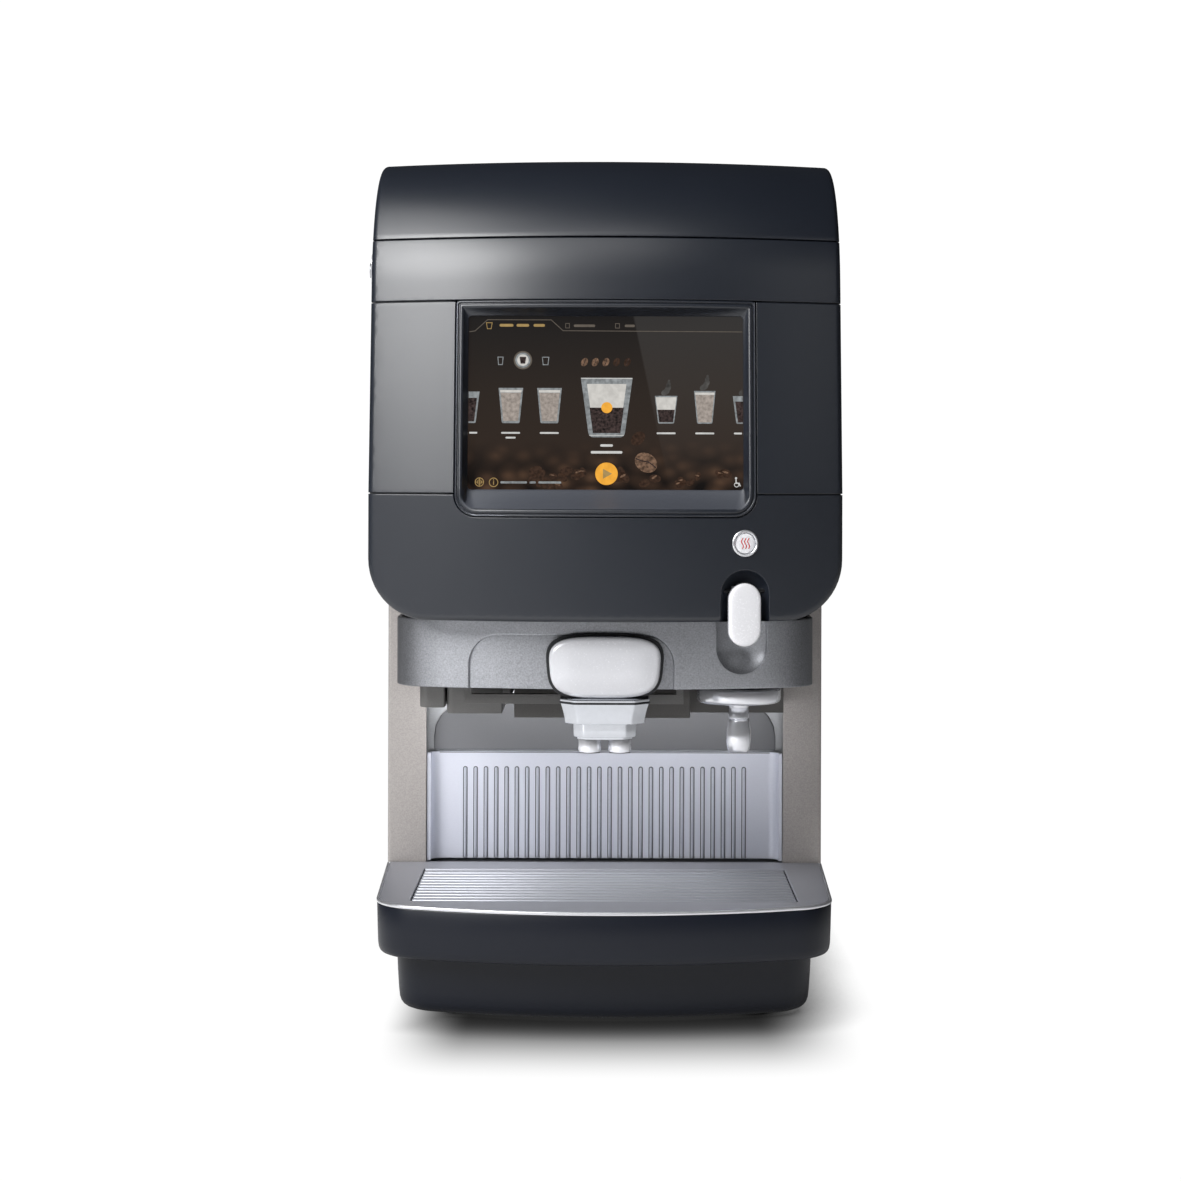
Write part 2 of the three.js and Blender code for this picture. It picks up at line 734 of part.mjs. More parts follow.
function lowerFascia() {
  const skin = doorSkin.intersect(block(-200, 200, -300, -100, 300, CHEEK_BOTTOM - 1));
  const pocket = onDoor(leverSlot(2, 16)).intersect(headForm(1));
  const pinHole = rod(1.8, -30, 30, 12).rotate([0, 90, 0]).translate([0, LEVER_PIVOT_IN, LEVER_PIVOT_Z]);
  const ringHole = rod(9.5, -12, 12, 24).rotate([90, 0, 0]).translate([0, 0, BUTTON_Z]);
  return skin.add(pocket)
    .subtract(bezelHole())
    .subtract(onDoor(leverSlot(0, 14)))
    .subtract(onDoor(pinHole))
    .subtract(onDoor(ringHole));
}

function buttonRing() {
  return onDoor(turned([
    [8.5, -7], [9.2, -7], [9.2, 0.5], [10.6, 0.5], [10.6, 1.1], [9.6, 1.7], [8.5, 1], [8.5, -7],
  ], 24).rotate([90, 0, 0]).translate([0, 0, BUTTON_Z]));
}

function hotWaterButton() {
  return onDoor(turned([
    [0, -12], [4, -12], [4, -3], [8.1, -3], [8.1, 0.3], [7.2, 0.9], [0, 1.2],
  ], 20).rotate([90, 0, 0]).translate([0, 0, BUTTON_Z]));
}

function leverRing(y, inset) {
  const middle = (LEVER_LOW + LEVER_HIGH) / 2;
  const outline = stadium(0, middle, 13.25 - inset, (LEVER_HIGH - LEVER_LOW) / 2 - inset, 6);
  return outline.map((point) => new THREE.Vector3(point.x, y, point.y));
}

function hotWaterLever() {
  const pad = loft([
    leverRing(4.3, 2),
    leverRing(2.8, 0),
    leverRing(-0.6, 0),
    leverRing(-2.2, 1.2),
    leverRing(-2.9, 4),
  ]);
  const boss = block(-9, 9, 3, LEVER_PIVOT_IN + 3.4, LEVER_PIVOT_Z - 5, LEVER_PIVOT_Z + 4);
  const bore = rod(1.9, -30, 30, 12).rotate([0, 90, 0]).translate([0, LEVER_PIVOT_IN, LEVER_PIVOT_Z]);
  return onDoor(pad.add(boss).subtract(bore));
}

function leverPin() {
  return onDoor(rod(1.5, -20.8, 20.8, 12).rotate([0, 90, 0]).translate([0, LEVER_PIVOT_IN, LEVER_PIVOT_Z]));
}

function doorInnerPanel() {
  const slot = block(-176, -168, -160, -140, LOCK_Z - LOCK_REACH, LOCK_Z + 9);
  return frontPrism(headOutline(WALL + 0.4), DOOR_BACK - WALL, DOOR_BACK)
    .intersect(block(-200, 200, -200, 0, 300, DOOR_TOP))
    .subtract(slot)
    .subtract(hingeClearance());
}

// Door half of a hinge: the upper knuckle and the leaf on the door's inner panel.
function doorLeaf(z) {
  const knuckle = rod(KNUCKLE_RADIUS, 0.3, 22, 16).translate([HINGE_X, HINGE_Y, z]);
  const leaf = block(166, HINGE_X, HINGE_Y - 1.2, HINGE_Y - 0.1, z + 0.3, z + 22);
  const bore = rod(1.7, -1, 20, 12).translate([HINGE_X, HINGE_Y, z]);
  return knuckle.add(leaf).subtract(bore);
}

// Fixed half of a hinge: the lower knuckle with the pin, and the leaf on the head shell.
function fixedLeaf(z) {
  const knuckle = rod(KNUCKLE_RADIUS, -22, -0.3, 16).translate([HINGE_X, HINGE_Y, z]);
  const pin = rod(1.3, -5, 19, 12).translate([HINGE_X, HINGE_Y, z]);
  const leaf = block(166, HINGE_X, HINGE_Y + 0.6, HINGE_Y + 1.7, z - 22, z - 0.3);
  return joined([knuckle, pin, leaf]);
}

// ---------------------------------------------------------------- lock

function lockEscutcheon() {
  const plate = sidePrism(rounded([
    [LOCK_Y - 10, LOCK_Z - 13.5, 9], [LOCK_Y + 10, LOCK_Z - 13.5, 9],
    [LOCK_Y + 10, LOCK_Z + 13.5, 9], [LOCK_Y - 10, LOCK_Z + 13.5, 9],
  ], 5), -191.4, -HALF_WIDTH - GAP);
  return plate.subtract(rod(6.5, -20, 20, 20).rotate([0, 90, 0]).translate([-190, LOCK_Y, LOCK_Z]));
}

function sector(inner, outer, from, to) {
  const points = [];
  for (let step = 0; step <= 6; step++) {
    const angle = THREE.MathUtils.degToRad(from + (to - from) * step / 6);
    points.push(new THREE.Vector2(outer * Math.sin(angle), -outer * Math.cos(angle)));
  }
  for (let step = 6; step >= 0; step--) {
    const angle = THREE.MathUtils.degToRad(from + (to - from) * step / 6);
    points.push(new THREE.Vector2(inner * Math.sin(angle), -inner * Math.cos(angle)));
  }
  return points;
}

// Key cylinder with a hooked cam that hangs down when the door is unlocked.
function lockBarrel() {
  const barrel = rod(6, -193, -171.5, 20).rotate([0, 90, 0]);
  const keySlot = block(-195, -190.5, -0.8, 0.8, -4, 4);
  const arm = sidePrism(sector(3, LOCK_REACH, -15, 15), -174.5, -171.5);
  const hook = sidePrism(sector(LOCK_PIN_REACH - 4, LOCK_PIN_REACH + 3.4, -8, 20), -176, -170);
  return barrel.subtract(keySlot).add(arm.subtract(hook)).translate([0, LOCK_Y, LOCK_Z]);
}

function lockStriker() {
  const y = LOCK_Y + LOCK_PIN_REACH;
  const plate = block(-185.6, -183.4, y - 2.4, y + 22, LOCK_Z - 10, LOCK_Z + 10);
  const pin = rod(2, -184, -167, 16).rotate([0, 90, 0]).translate([0, y, LOCK_Z]);
  return plate.add(pin);
}

// ---------------------------------------------------------------- coffee outlet

function padRing(y, inset) {
  const points = [];
  for (let step = 0; step < 32; step++) {
    const angle = Math.PI * 2 * step / 32;
    const power = (value) => Math.sign(value) * Math.abs(value) ** 0.5;
    const x = (45.5 - inset) * power(Math.cos(angle));
    const z = (24.25 - inset) * power(Math.sin(angle));
    points.push(new THREE.Vector3(x * (1 + 0.04 * z / 24), y, 279.75 + z));
  }
  return points;
}

function outletPad() {
  return loft([
    padRing(-230, 1.5), padRing(-232, 0), padRing(-237, 0), padRing(-241, 1.8), padRing(-243.6, 5), padRing(-245, 11),
  ]);
}

function spoutRing(z, halfWidth, halfDepth) {
  return stadium(0, -225, halfWidth, halfDepth, 5).map((point) => new THREE.Vector3(point.x, point.y, z));
}

function outletSpout() {
  const upper = loft([spoutRing(235, 30.7, 16), spoutRing(237, 32, 17.3), spoutRing(252, 36, 20), spoutRing(255.1, 36, 20)]);
  const lower = loft([spoutRing(224, 24, 12.5), spoutRing(226, 25, 13.5), spoutRing(236, 25, 13.5)]);
  const nozzle = turned([[6, 211], [8.4, 211], [9, 213], [9, 225], [6, 225], [6, 211]], 20);
  const carriage = block(-18, 18, -210, RAIL_Y + 10, RAIL_Z - 9, RAIL_Z + 8);
  const railHole = block(-30, 30, RAIL_Y - 4.5, RAIL_Y + 4.5, RAIL_Z - 4.5, RAIL_Z + 4.5);
  return joined([
    upper, lower, nozzle.translate([-12, -225, 0]), nozzle.translate([12, -225, 0]),
    carriage.subtract(railHole),
  ]);
}

// ---------------------------------------------------------------- drip tray

function trayFront(x, inset) {
  return TRAY.frontY + inset + FACE_BOW * (x / HALF_WIDTH) ** 2;
}

function trayOutline(inset, backY = TRAY.back) {
  const side = TRAY.half - inset;
  const corner = TRAY.frontHalf - inset;
  const front = [-115, -75, -38, 0, 38, 75, 115].map((x) => [x, trayFront(x, inset)]);
  return rounded([
    [-side, backY],
    [-corner, trayFront(corner, inset), 42 - inset],
    ...front,
    [corner, trayFront(corner, inset), 42 - inset],
    [side, backY],
  ], 6);
}

function trayRing(z, inset, backY) {
  return trayOutline(inset, backY).map((point) => new THREE.Vector3(point.x, point.y, z));
}

function trayTub() {
  const { low, high, back } = TRAY;
  const outer = loft([
    trayRing(low, 7, back), trayRing(low + 2.5, 3.5, back), trayRing(low + 8, 1.5, back), trayRing(high, 0.5, back),
  ]);
  const inner = loft([
    trayRing(low + WALL, 12, back - WALL), trayRing(low + 9, 5, back - WALL), trayRing(high + 1, 4, back - WALL),
  ]);
  const posts = [[-149, -229], [149, -229], [-149, -97], [149, -97]].map(([x, y]) => {
    return block(x - 5, x + 5, y - 5, y + 5, low + 1, 90);
  });
  return joined([outer.subtract(inner), ...posts]);
}

function trayTopPlate() {
  const plate = planPrism(trayOutline(0), TRAY.high + GAP, TRAY_TOP);
  const tongue = block(-154.6, 154.6, TRAY.back - 5, -53, TRAY.high + GAP, TRAY_TOP);
  const hole = block(-GRID.half, GRID.half, GRID.front, GRID.back, 80, 100);
  return plate.add(tongue).subtract(hole);
}

// Slotted cup grid: bars run left to right between two end strips.
function dripGrid() {
  const edge = GRID.half - 0.5;
  const pitch = (GRID.back - GRID.front) / GRID.slots;
  const sheet = block(-edge, edge, GRID.front + 0.5, GRID.back - 0.5, 90.4, TRAY_TOP);
  const slots = [];
  for (let row = 0; row < GRID.slots; row++) {
    slots.push(planPrism(stadium(0, GRID.front + pitch * (row + 0.5), 146, 2.5, 2), 80, 100));
  }
  return sheet.subtract(joined(slots));
}

// ---------------------------------------------------------------- colours and assembly

const FINISHES = {
  midnight: { color: 0x1d232d, roughness: 0.42, metalness: 0.35 },
  black: { color: 0x14161a, roughness: 0.55, metalness: 0.1 },
  taupe: { color: 0x8f8a86, roughness: 0.45, metalness: 0.55 },
  silver: { color: 0xb9bcc6, roughness: 0.35, metalness: 0.75 },
  pewter: { color: 0x7f848c, roughness: 0.4, metalness: 0.6 },
  chrome: { color: 0xd9dce0, roughness: 0.12, metalness: 1 },
  pearl: { color: 0xe6e7ea, roughness: 0.22, metalness: 0.3 },
  glass: { color: 0x2b2622, roughness: 0.08, metalness: 0 },
  steel: { color: 0xa9adb2, roughness: 0.35, metalness: 0.9 },
  plastic: { color: 0x3a3e45, roughness: 0.6, metalness: 0 },
  green: { color: 0x1f5c3a, roughness: 0.6, metalness: 0 },
  copper: { color: 0xb5764a, roughness: 0.35, metalness: 0.9 },
  carton: { color: 0xc9b79a, roughness: 0.8, metalness: 0 },
  rubber: { color: 0x18181a, roughness: 0.9, metalness: 0 },
};

const group = new THREE.Group();
group.name = 'hot_coffee_vending_machine';

function add(parent, name, solid, finish) {
  const mesh = new THREE.Mesh(toGeometry(solid), new THREE.MeshStandardMaterial(FINISHES[finish]));
  mesh.name = name;
  parent.add(mesh);
}

function section(name) {
  const part = new THREE.Group();
  part.name = name;
  group.add(part);
  return part;
}

function buildCabinet() {
  const cabinet = section('cabinet');
  add(cabinet, 'base_plinth', basePlinth(), 'midnight');
  add(cabinet, 'foot_front_left', foot().translate([-120, -200, 0]), 'rubber');
  add(cabinet, 'foot_front_right', foot().translate([120, -200, 0]), 'rubber');
  add(cabinet, 'foot_rear_left', foot().translate([-120, 225, 0]), 'rubber');
  add(cabinet, 'foot_rear_right', foot().translate([120, 225, 0]), 'rubber');
  add(cabinet, 'right_side_panel', sidePanel(), 'taupe');
  add(cabinet, 'left_side_panel', sidePanel().mirror([1, 0, 0]), 'taupe');
  add(cabinet, 'rear_panel', rearPanel(), 'pewter');
  add(cabinet, 'top_cover', topCover(), 'black');
  add(cabinet, 'head_shell', headShell(), 'black');
  add(cabinet, 'apron', apron(), 'pewter');
  add(cabinet, 'dispense_ceiling', dispenseCeiling(), 'black');
  add(cabinet, 'splash_plate', splashPlate(), 'silver');
  add(cabinet, 'upper_back_panel', upperBackPanel(), 'plastic');
  add(cabinet, 'bulkhead', bulkhead(), 'steel');
  add(cabinet, 'mid_deck', midDeck(), 'steel');
  add(cabinet, 'mixer_cover', mixerCover(), 'plastic');
  add(cabinet, 'under_head_housing', underHeadHousing(), 'black');
  add(cabinet, 'outlet_rail', outletRail(), 'steel');
  add(cabinet, 'hot_water_collar', hotWaterCollar(), 'chrome');
  add(cabinet, 'hot_water_nozzle', hotWaterNozzle(), 'chrome');
}

function buildInside() {
  const inside = section('inside');
  add(inside, 'boiler_tank', boilerTank(), 'steel');
  add(inside, 'water_pump', waterPump(), 'plastic');
  add(inside, 'inlet_valve', inletValve(), 'plastic');
  add(inside, 'power_inlet', powerInlet(), 'rubber');
  add(inside, 'power_supply', powerSupply(), 'steel');
  add(inside, 'control_board', controlBoard(), 'green');
  add(inside, 'fan_frame', fanFrame(), 'plastic');
  add(inside, 'fan_rotor', fanRotor(), 'black');
  add(inside, 'pack_shelf', packShelf(), 'steel');
  add(inside, 'concentrate_pack_right', concentratePack(), 'carton');
  add(inside, 'concentrate_pack_left', concentratePack().mirror([1, 0, 0]), 'carton');
  add(inside, 'dosing_unit_right', dosingUnit(), 'plastic');
  add(inside, 'dosing_unit_left', dosingUnit().mirror([1, 0, 0]), 'plastic');
  add(inside, 'mixing_chamber', mixingChamber(), 'plastic');
  add(inside, 'hot_water_pipe', hotWaterPipe(), 'copper');
}

function buildDoor() {
  const door = section('door');
  add(door, 'upper_fascia', upperFascia(), 'midnight');
  add(door, 'left_cheek', cheek(-1), 'midnight');
  add(door, 'right_cheek', cheek(1), 'midnight');
  add(door, 'lower_fascia', lowerFascia(), 'midnight');
  add(door, 'screen_bezel', screenBezel(), 'midnight');
  add(door, 'touch_glass', leaningPlate(112.5, 417.5, 561, 0, 3), 'glass');
  add(door, 'display_module', leaningPlate(114, 414, 564, 3.4, 19), 'black');
  add(door, 'door_inner_panel', doorInnerPanel(), 'plastic');
  for (const { name, z } of HINGE_ZS) {
    add(door, `${name}_hinge_door_leaf`, doorLeaf(z), 'steel');
    add(door, `${name}_hinge_fixed_leaf`, fixedLeaf(z), 'steel');
  }
  add(door, 'lock_escutcheon', lockEscutcheon(), 'chrome');
  add(door, 'lock_barrel', lockBarrel(), 'steel');
  add(door, 'lock_striker', lockStriker(), 'steel');
  add(door, 'button_ring', buttonRing(), 'chrome');
  add(door, 'hot_water_button', hotWaterButton(), 'pearl');
  add(door, 'lever_pin', leverPin(), 'steel');
  add(door, 'hot_water_lever', hotWaterLever(), 'pearl');
}

function buildDispenser() {
  const dispenser = section('dispenser');
  add(dispenser, 'outlet_pad', outletPad(), 'pearl');
  add(dispenser, 'outlet_spout', outletSpout(), 'chrome');
  add(dispenser, 'tray_tub', trayTub(), 'midnight');
  add(dispenser, 'tray_top_plate', trayTopPlate(), 'pewter');
  add(dispenser, 'drip_grid', dripGrid(), 'silver');
}

buildCabinet();
buildInside();
buildDoor();
buildDispenser();

export default group;
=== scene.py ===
"""Countertop hot coffee vending machine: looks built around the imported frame.

Lengths in the helpers are millimetres in the frame's own axes: front faces -Y,
+X is to the right seen from the front, +Z is up, and the floor is z = 0.
"""

import json
import math
import random

import bmesh
import bpy
import numpy as np
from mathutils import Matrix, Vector, geometry


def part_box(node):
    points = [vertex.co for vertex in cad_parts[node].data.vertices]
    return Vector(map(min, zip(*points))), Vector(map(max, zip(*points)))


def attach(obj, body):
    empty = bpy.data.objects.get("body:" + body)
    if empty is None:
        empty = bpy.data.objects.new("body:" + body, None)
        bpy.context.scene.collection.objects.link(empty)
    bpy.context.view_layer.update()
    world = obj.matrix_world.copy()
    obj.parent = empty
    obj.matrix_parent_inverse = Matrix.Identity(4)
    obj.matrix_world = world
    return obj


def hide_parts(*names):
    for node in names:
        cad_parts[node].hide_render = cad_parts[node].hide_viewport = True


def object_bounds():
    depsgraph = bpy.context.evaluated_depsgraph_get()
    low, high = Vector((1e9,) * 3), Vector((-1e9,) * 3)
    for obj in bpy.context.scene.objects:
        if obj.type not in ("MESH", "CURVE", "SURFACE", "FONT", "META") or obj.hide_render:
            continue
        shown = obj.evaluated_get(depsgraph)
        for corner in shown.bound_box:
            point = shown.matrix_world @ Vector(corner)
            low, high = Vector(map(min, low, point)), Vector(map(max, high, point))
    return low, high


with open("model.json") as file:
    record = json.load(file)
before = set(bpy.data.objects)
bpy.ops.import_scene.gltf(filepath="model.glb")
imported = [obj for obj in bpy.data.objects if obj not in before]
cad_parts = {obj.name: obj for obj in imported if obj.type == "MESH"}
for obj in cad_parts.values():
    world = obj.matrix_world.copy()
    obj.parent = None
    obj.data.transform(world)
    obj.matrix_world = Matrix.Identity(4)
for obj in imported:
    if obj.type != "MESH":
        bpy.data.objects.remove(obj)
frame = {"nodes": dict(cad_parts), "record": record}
cad_low, cad_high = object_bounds()

MM = 0.001
BOX = {name: tuple(tuple(c / MM for c in corner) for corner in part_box(name)) for name in frame["nodes"]}

# The head's front: a bowed face that leans back above the cheeks and rolls over into the top.
HALF = BOX["right_side_panel"][1][0]
BACK = cad_high.y / MM
HEIGHT = cad_high.z / MM
FACE_BOW = 36.0
FACE_SIDE_Y = BOX["lower_fascia"][0][1] + FACE_BOW
HEAD_BOTTOM = BOX["lower_fascia"][0][2]
HEAD_CORNER = 48.0
LEAN_START = 417.0
LEAN_END = 588.0
LEAN = math.radians(7.0)
EDGE = 4.5
SEAM_EDGE = 0.8
SKIN = 3.0
DOOR_BACK = BOX["lower_fascia"][1][1]
STRAIGHT_LEAN = math.tan(LEAN) * (LEAN_END - LEAN_START)
ROLL_RADIUS = (HEIGHT - LEAN_END) / (1 - math.sin(LEAN))

# Hot-water controls sit on the bowed door, turned with it.
CONTROL_X = 109.7
BUTTON_Z = 378.8
CONTROL_TILT = math.atan(2 * FACE_BOW * CONTROL_X / HALF**2)
LEVER_LOW = BOX["hot_water_lever"][0][2]
LEVER_HIGH = BOX["hot_water_lever"][1][2]


# ------------------------------------------------------------------ shader nodes


def feed(tree, node, inputs):
    """Sets a node's inputs: an output is linked to its socket, and anything else is the socket's own value."""
    for socket, value in inputs.items():
        if isinstance(value, bpy.types.NodeSocket):
            tree.links.new(value, node.inputs[socket])
        else:
            node.inputs[socket].default_value = value


def add_node(tree, kind, inputs=None, **settings):
    node = tree.nodes.new("ShaderNode" + kind)
    for name, value in settings.items():
        setattr(node, name, value)
    feed(tree, node, inputs or {})
    return node


def noise(tree, vector, scale, detail=3.0, stretch=None):
    if stretch:
        vector = add_node(tree, "Mapping", {"Vector": vector, "Scale": stretch}).outputs["Vector"]
    return add_node(tree, "TexNoise", {"Vector": vector, "Scale": scale, "Detail": detail}).outputs["Fac"]


def axes(tree, coords):
    return add_node(tree, "SeparateXYZ", {"Vector": coords}).outputs


def calculate(tree, operation, *values):
    return add_node(tree, "Math", dict(enumerate(values)), operation=operation).outputs[0]


def map_range(tree, value, low, high, start=0.0, end=1.0, smooth=False):
    """Carries the range from start to end onto the range from low to high."""
    inputs = {"Value": value, "From Min": start, "From Max": end, "To Min": low, "To Max": high}
    kind = "SMOOTHSTEP" if smooth else "LINEAR"
    return add_node(tree, "MapRange", inputs, interpolation_type=kind).outputs["Result"]


def mix_colours(tree, factor, first, second, blend_type="MIX"):
    """A Mix node's colour sockets have no names of their own: inputs 0, 6 and 7, and output 2."""
    return add_node(tree, "Mix", {0: factor, 6: first, 7: second}, data_type="RGBA", blend_type=blend_type).outputs[2]


def ramp(tree, factor, stops):
    node = add_node(tree, "ValToRGB", {"Fac": factor})
    elements = node.color_ramp.elements
    while len(elements) < len(stops):
        elements.new(0.5)
    for element, (place, colour) in zip(elements, stops):
        element.position = place
        element.color = (*colour, 1.0)
    return node.outputs["Color"]


# Most of a noise texture's values lie between these two.
NOISE_LOW, NOISE_HIGH = 0.3, 0.7


def varied(tree, factor, colour, vary):
    """The colour, lighter and darker by the share vary as the noise rises and falls."""
    stops = [(NOISE_LOW, 1 - vary), (NOISE_HIGH, 1 + vary)]
    return ramp(tree, factor, [(place, tuple(min(1.0, c * scale) for c in colour)) for place, scale in stops])


def spread(tree, factor, low, high):
    return map_range(tree, factor, low, high, NOISE_LOW, NOISE_HIGH)


# ------------------------------------------------------------------ materials


DRIFT_SCALE = 9.0
GRAIN_SHARE = 0.72
RELIEF_DEPTH = 0.0002
COAT_ROUGHNESS = 0.18


def new_material(name):
    material = bpy.data.materials.new(name)
    material.use_nodes = True
    tree = material.node_tree
    coords = add_node(tree, "TexCoord").outputs["Object"]
    return material, tree, tree.nodes["Principled BSDF"], coords


def painted_shade_at_ends(tree, coords, tone, start, end, share):
    """Painted shade: scales a colour down towards both sides of the machine, from start to end metres off the middle.
    """
    off_middle = calculate(tree, "ABSOLUTE", axes(tree, coords)["X"])
    fade = map_range(tree, off_middle, 1.0, share, start, end, smooth=True)
    return add_node(tree, "VectorMath", {0: tone, "Scale": fade}, operation="SCALE").outputs[0]


def surface_material(name, colour, rough, metal=0.0, grain=900.0, relief=0.05, vary=0.06, coat=0.0, stretch=None,
                     specular=0.5, ends=None):
    """Painted, moulded or brushed finish: fine grain in the relief, slow drift in the colour, and with ends painted
    shade towards both sides.
    """
    material, tree, shader, coords = new_material(name)
    slow = noise(tree, coords, DRIFT_SCALE, 4.0)
    fine = noise(tree, coords, grain, 2.0, stretch)
    mixed = add_node(tree, "Mix", {"Factor": GRAIN_SHARE, "A": slow, "B": fine}, data_type="FLOAT").outputs["Result"]
    tone = varied(tree, mixed, colour, vary)
    # Painted shade: darker towards both sides of the machine.
    if ends:
        tone = painted_shade_at_ends(tree, coords, tone, *ends)
    height = add_node(tree, "Bump", {"Height": fine, "Strength": relief, "Distance": RELIEF_DEPTH})
    feed(tree, shader, {
        "Base Color": tone, "Roughness": spread(tree, mixed, rough * 0.9, min(1.0, rough * 1.1)), "Metallic": metal,
        "Specular IOR Level": specular, "Coat Weight": coat, "Coat Roughness": COAT_ROUGHNESS,
        "Normal": height.outputs["Normal"]})
    return material


def lit_material(name, colour, strength, vary=0.1, grain=220.0):
    """A lit mark on the screen, slightly uneven like print under glass."""
    material, tree, shader, coords = new_material(name)
    feed(tree, shader, {
        "Emission Color": varied(tree, noise(tree, coords, grain), colour, vary), "Emission Strength": strength,
        "Base Color": (0.004, 0.004, 0.004, 1), "Roughness": 0.25, "Specular IOR Level": 0.1})
    return material


# Painted, moulded and brushed finishes: colour, roughness, and what differs from surface_material.
FINISHES = {
    "midnight_paint": ((0.0088, 0.0115, 0.0180), 0.37, dict(grain=1500, relief=0.10, vary=0.08, specular=0.75)),
    "tray_paint": ((0.0032, 0.0050, 0.0112), 0.40, dict(grain=1500, relief=0.10, vary=0.08, specular=0.38)),
    "black_plastic": ((0.008, 0.009, 0.011), 0.5, dict(grain=1100, relief=0.18, vary=0.12)),
    "taupe_paint": ((0.385, 0.360, 0.348), 0.42, dict(metal=0.4, grain=850, relief=0.16, vary=0.17)),
    "silver_steel": ((0.69, 0.71, 0.80), 0.36, dict(metal=0.45, grain=420, relief=0.08, vary=0.04, stretch=(1, 1, 14))),
    "tray_silver": (
        (0.26, 0.265, 0.295), 0.42, dict(metal=0.3, grain=420, relief=0.08, vary=0.05, stretch=(1, 14, 14))),
    "bar_silver": ((0.30, 0.31, 0.345), 0.36, dict(metal=0.35, grain=420, relief=0.06, vary=0.05, stretch=(1, 16, 16))),
    # pewter_paint gets painted shade towards both sides of the apron through its ends setting.
    "pewter_paint": (
        (0.44, 0.45, 0.48), 0.45, dict(metal=0.93, grain=850, relief=0.16, vary=0.24, ends=(0.122, 0.162, 0.5))),
    "chrome": ((0.90, 0.91, 0.95), 0.17, dict(metal=0.7, grain=240, relief=0.01, vary=0.03)),
    "bright_trim": ((0.80, 0.81, 0.84), 0.32, dict(metal=0.85, grain=500, relief=0.02, vary=0.03)),
    "pearl_plastic": ((0.61, 0.615, 0.645), 0.26, dict(metal=0.05, grain=700, relief=0.01, vary=0.03, coat=0.6)),
    # A lighter copy of pearl_plastic for the lever pad and button cap: painted highlight.
    "pearl_painted_highlight": ((0.84, 0.84, 0.87), 0.26, dict(metal=0.05, grain=700, relief=0.01, vary=0.03, coat=0.6)),
    "soft_chrome": ((0.66, 0.68, 0.72), 0.10, dict(metal=1.0, grain=240, relief=0.01, vary=0.03)),
    # A lighter, rougher copy of midnight_paint for the bezel's lower slope: painted highlight.
    "ledge_painted_highlight": ((0.050, 0.055, 0.068), 0.5, dict(grain=1500, relief=0.10, vary=0.08)),
    "cover_grey": ((0.165, 0.162, 0.158), 0.36, dict(metal=0.3, grain=1300, relief=0.10, vary=0.08)),
    "housing_grey": ((0.115, 0.110, 0.105), 0.42, dict(metal=0.2, grain=1300, relief=0.10, vary=0.08)),
    "trim_gloss": ((0.10, 0.105, 0.12), 0.22, dict(metal=0.7, grain=900, relief=0.02, vary=0.05)),
    "dark_steel": ((0.020, 0.020, 0.022), 0.38, dict(metal=0.6, grain=600, relief=0.06, vary=0.1)),
    # Dark strips under the beads, wider than them: painted shade along each bead's flanks.
    "bead_flank_painted_shade": (
        (0.095, 0.099, 0.115), 0.40, dict(metal=0.5, grain=420, relief=0.05, vary=0.05, stretch=(1, 1, 14))),
    "bead_steel": ((0.60, 0.62, 0.70), 0.30, dict(metal=0.7, grain=420, relief=0.05, vary=0.05, stretch=(1, 1, 14))),
    "steel": ((0.44, 0.45, 0.47), 0.34, dict(metal=0.9, grain=380, relief=0.08, vary=0.08, stretch=(1, 1, 12))),
    "grey_plastic": ((0.060, 0.064, 0.074), 0.48, dict(grain=1100, relief=0.15, vary=0.10)),
    "back_panel": ((0.16, 0.163, 0.175), 0.42, dict(metal=0.3, grain=1500, relief=0.12, vary=0.08)),
    "circuit_board": ((0.014, 0.11, 0.045), 0.4, dict(grain=160, relief=0.3, vary=0.35)),
    "copper_pipe": ((0.58, 0.26, 0.13), 0.26, dict(metal=1.0, grain=240, relief=0.03, vary=0.10)),
    "carton": ((0.50, 0.38, 0.24), 0.8, dict(grain=520, relief=0.35, vary=0.12, stretch=(1, 1, 5))),
    "rubber": ((0.010, 0.010, 0.011), 0.75, dict(grain=900, relief=0.3, vary=0.15)),
    "red_mark": ((0.55, 0.03, 0.03), 0.35, dict(grain=900, relief=0.02, vary=0.06)),
}
# Lit marks: colour, strength, and what differs from lit_material.
LIT_FINISHES = {
    "ui_white": ((0.78, 0.78, 0.76), 0.75, dict()),
    "ui_dim": ((0.20, 0.17, 0.14), 0.6, dict()),
    "ui_gold": ((0.62, 0.42, 0.16), 0.6, dict()),
    "ui_orange": ((0.93, 0.43, 0.05), 0.95, dict()),
    "ui_milk": ((0.74, 0.72, 0.68), 0.8, dict(vary=0.12)),
    "ui_glass": ((0.30, 0.32, 0.33), 0.8, dict(vary=0.35, grain=330.0)),
    "ui_latte": ((0.42, 0.365, 0.325), 0.8, dict(vary=0.28, grain=420.0)),
    "ui_coffee": ((0.045, 0.030, 0.028), 0.8, dict(vary=0.9, grain=520.0)),
    "ui_bean": ((0.21, 0.125, 0.08), 0.7, dict(vary=0.75, grain=420.0)),
    "ui_bean_dark": ((0.050, 0.026, 0.016), 0.8, dict(vary=0.5, grain=420.0)),
    "ui_steam": ((0.10, 0.095, 0.09), 0.7, dict(vary=0.5, grain=160.0)),
}
MATERIALS = {name: surface_material(name, colour, rough, **rest) for name, (colour, rough, rest) in FINISHES.items()}
for name, (colour, strength, rest) in LIT_FINISHES.items():
    MATERIALS[name] = lit_material(name, colour, strength, **rest)


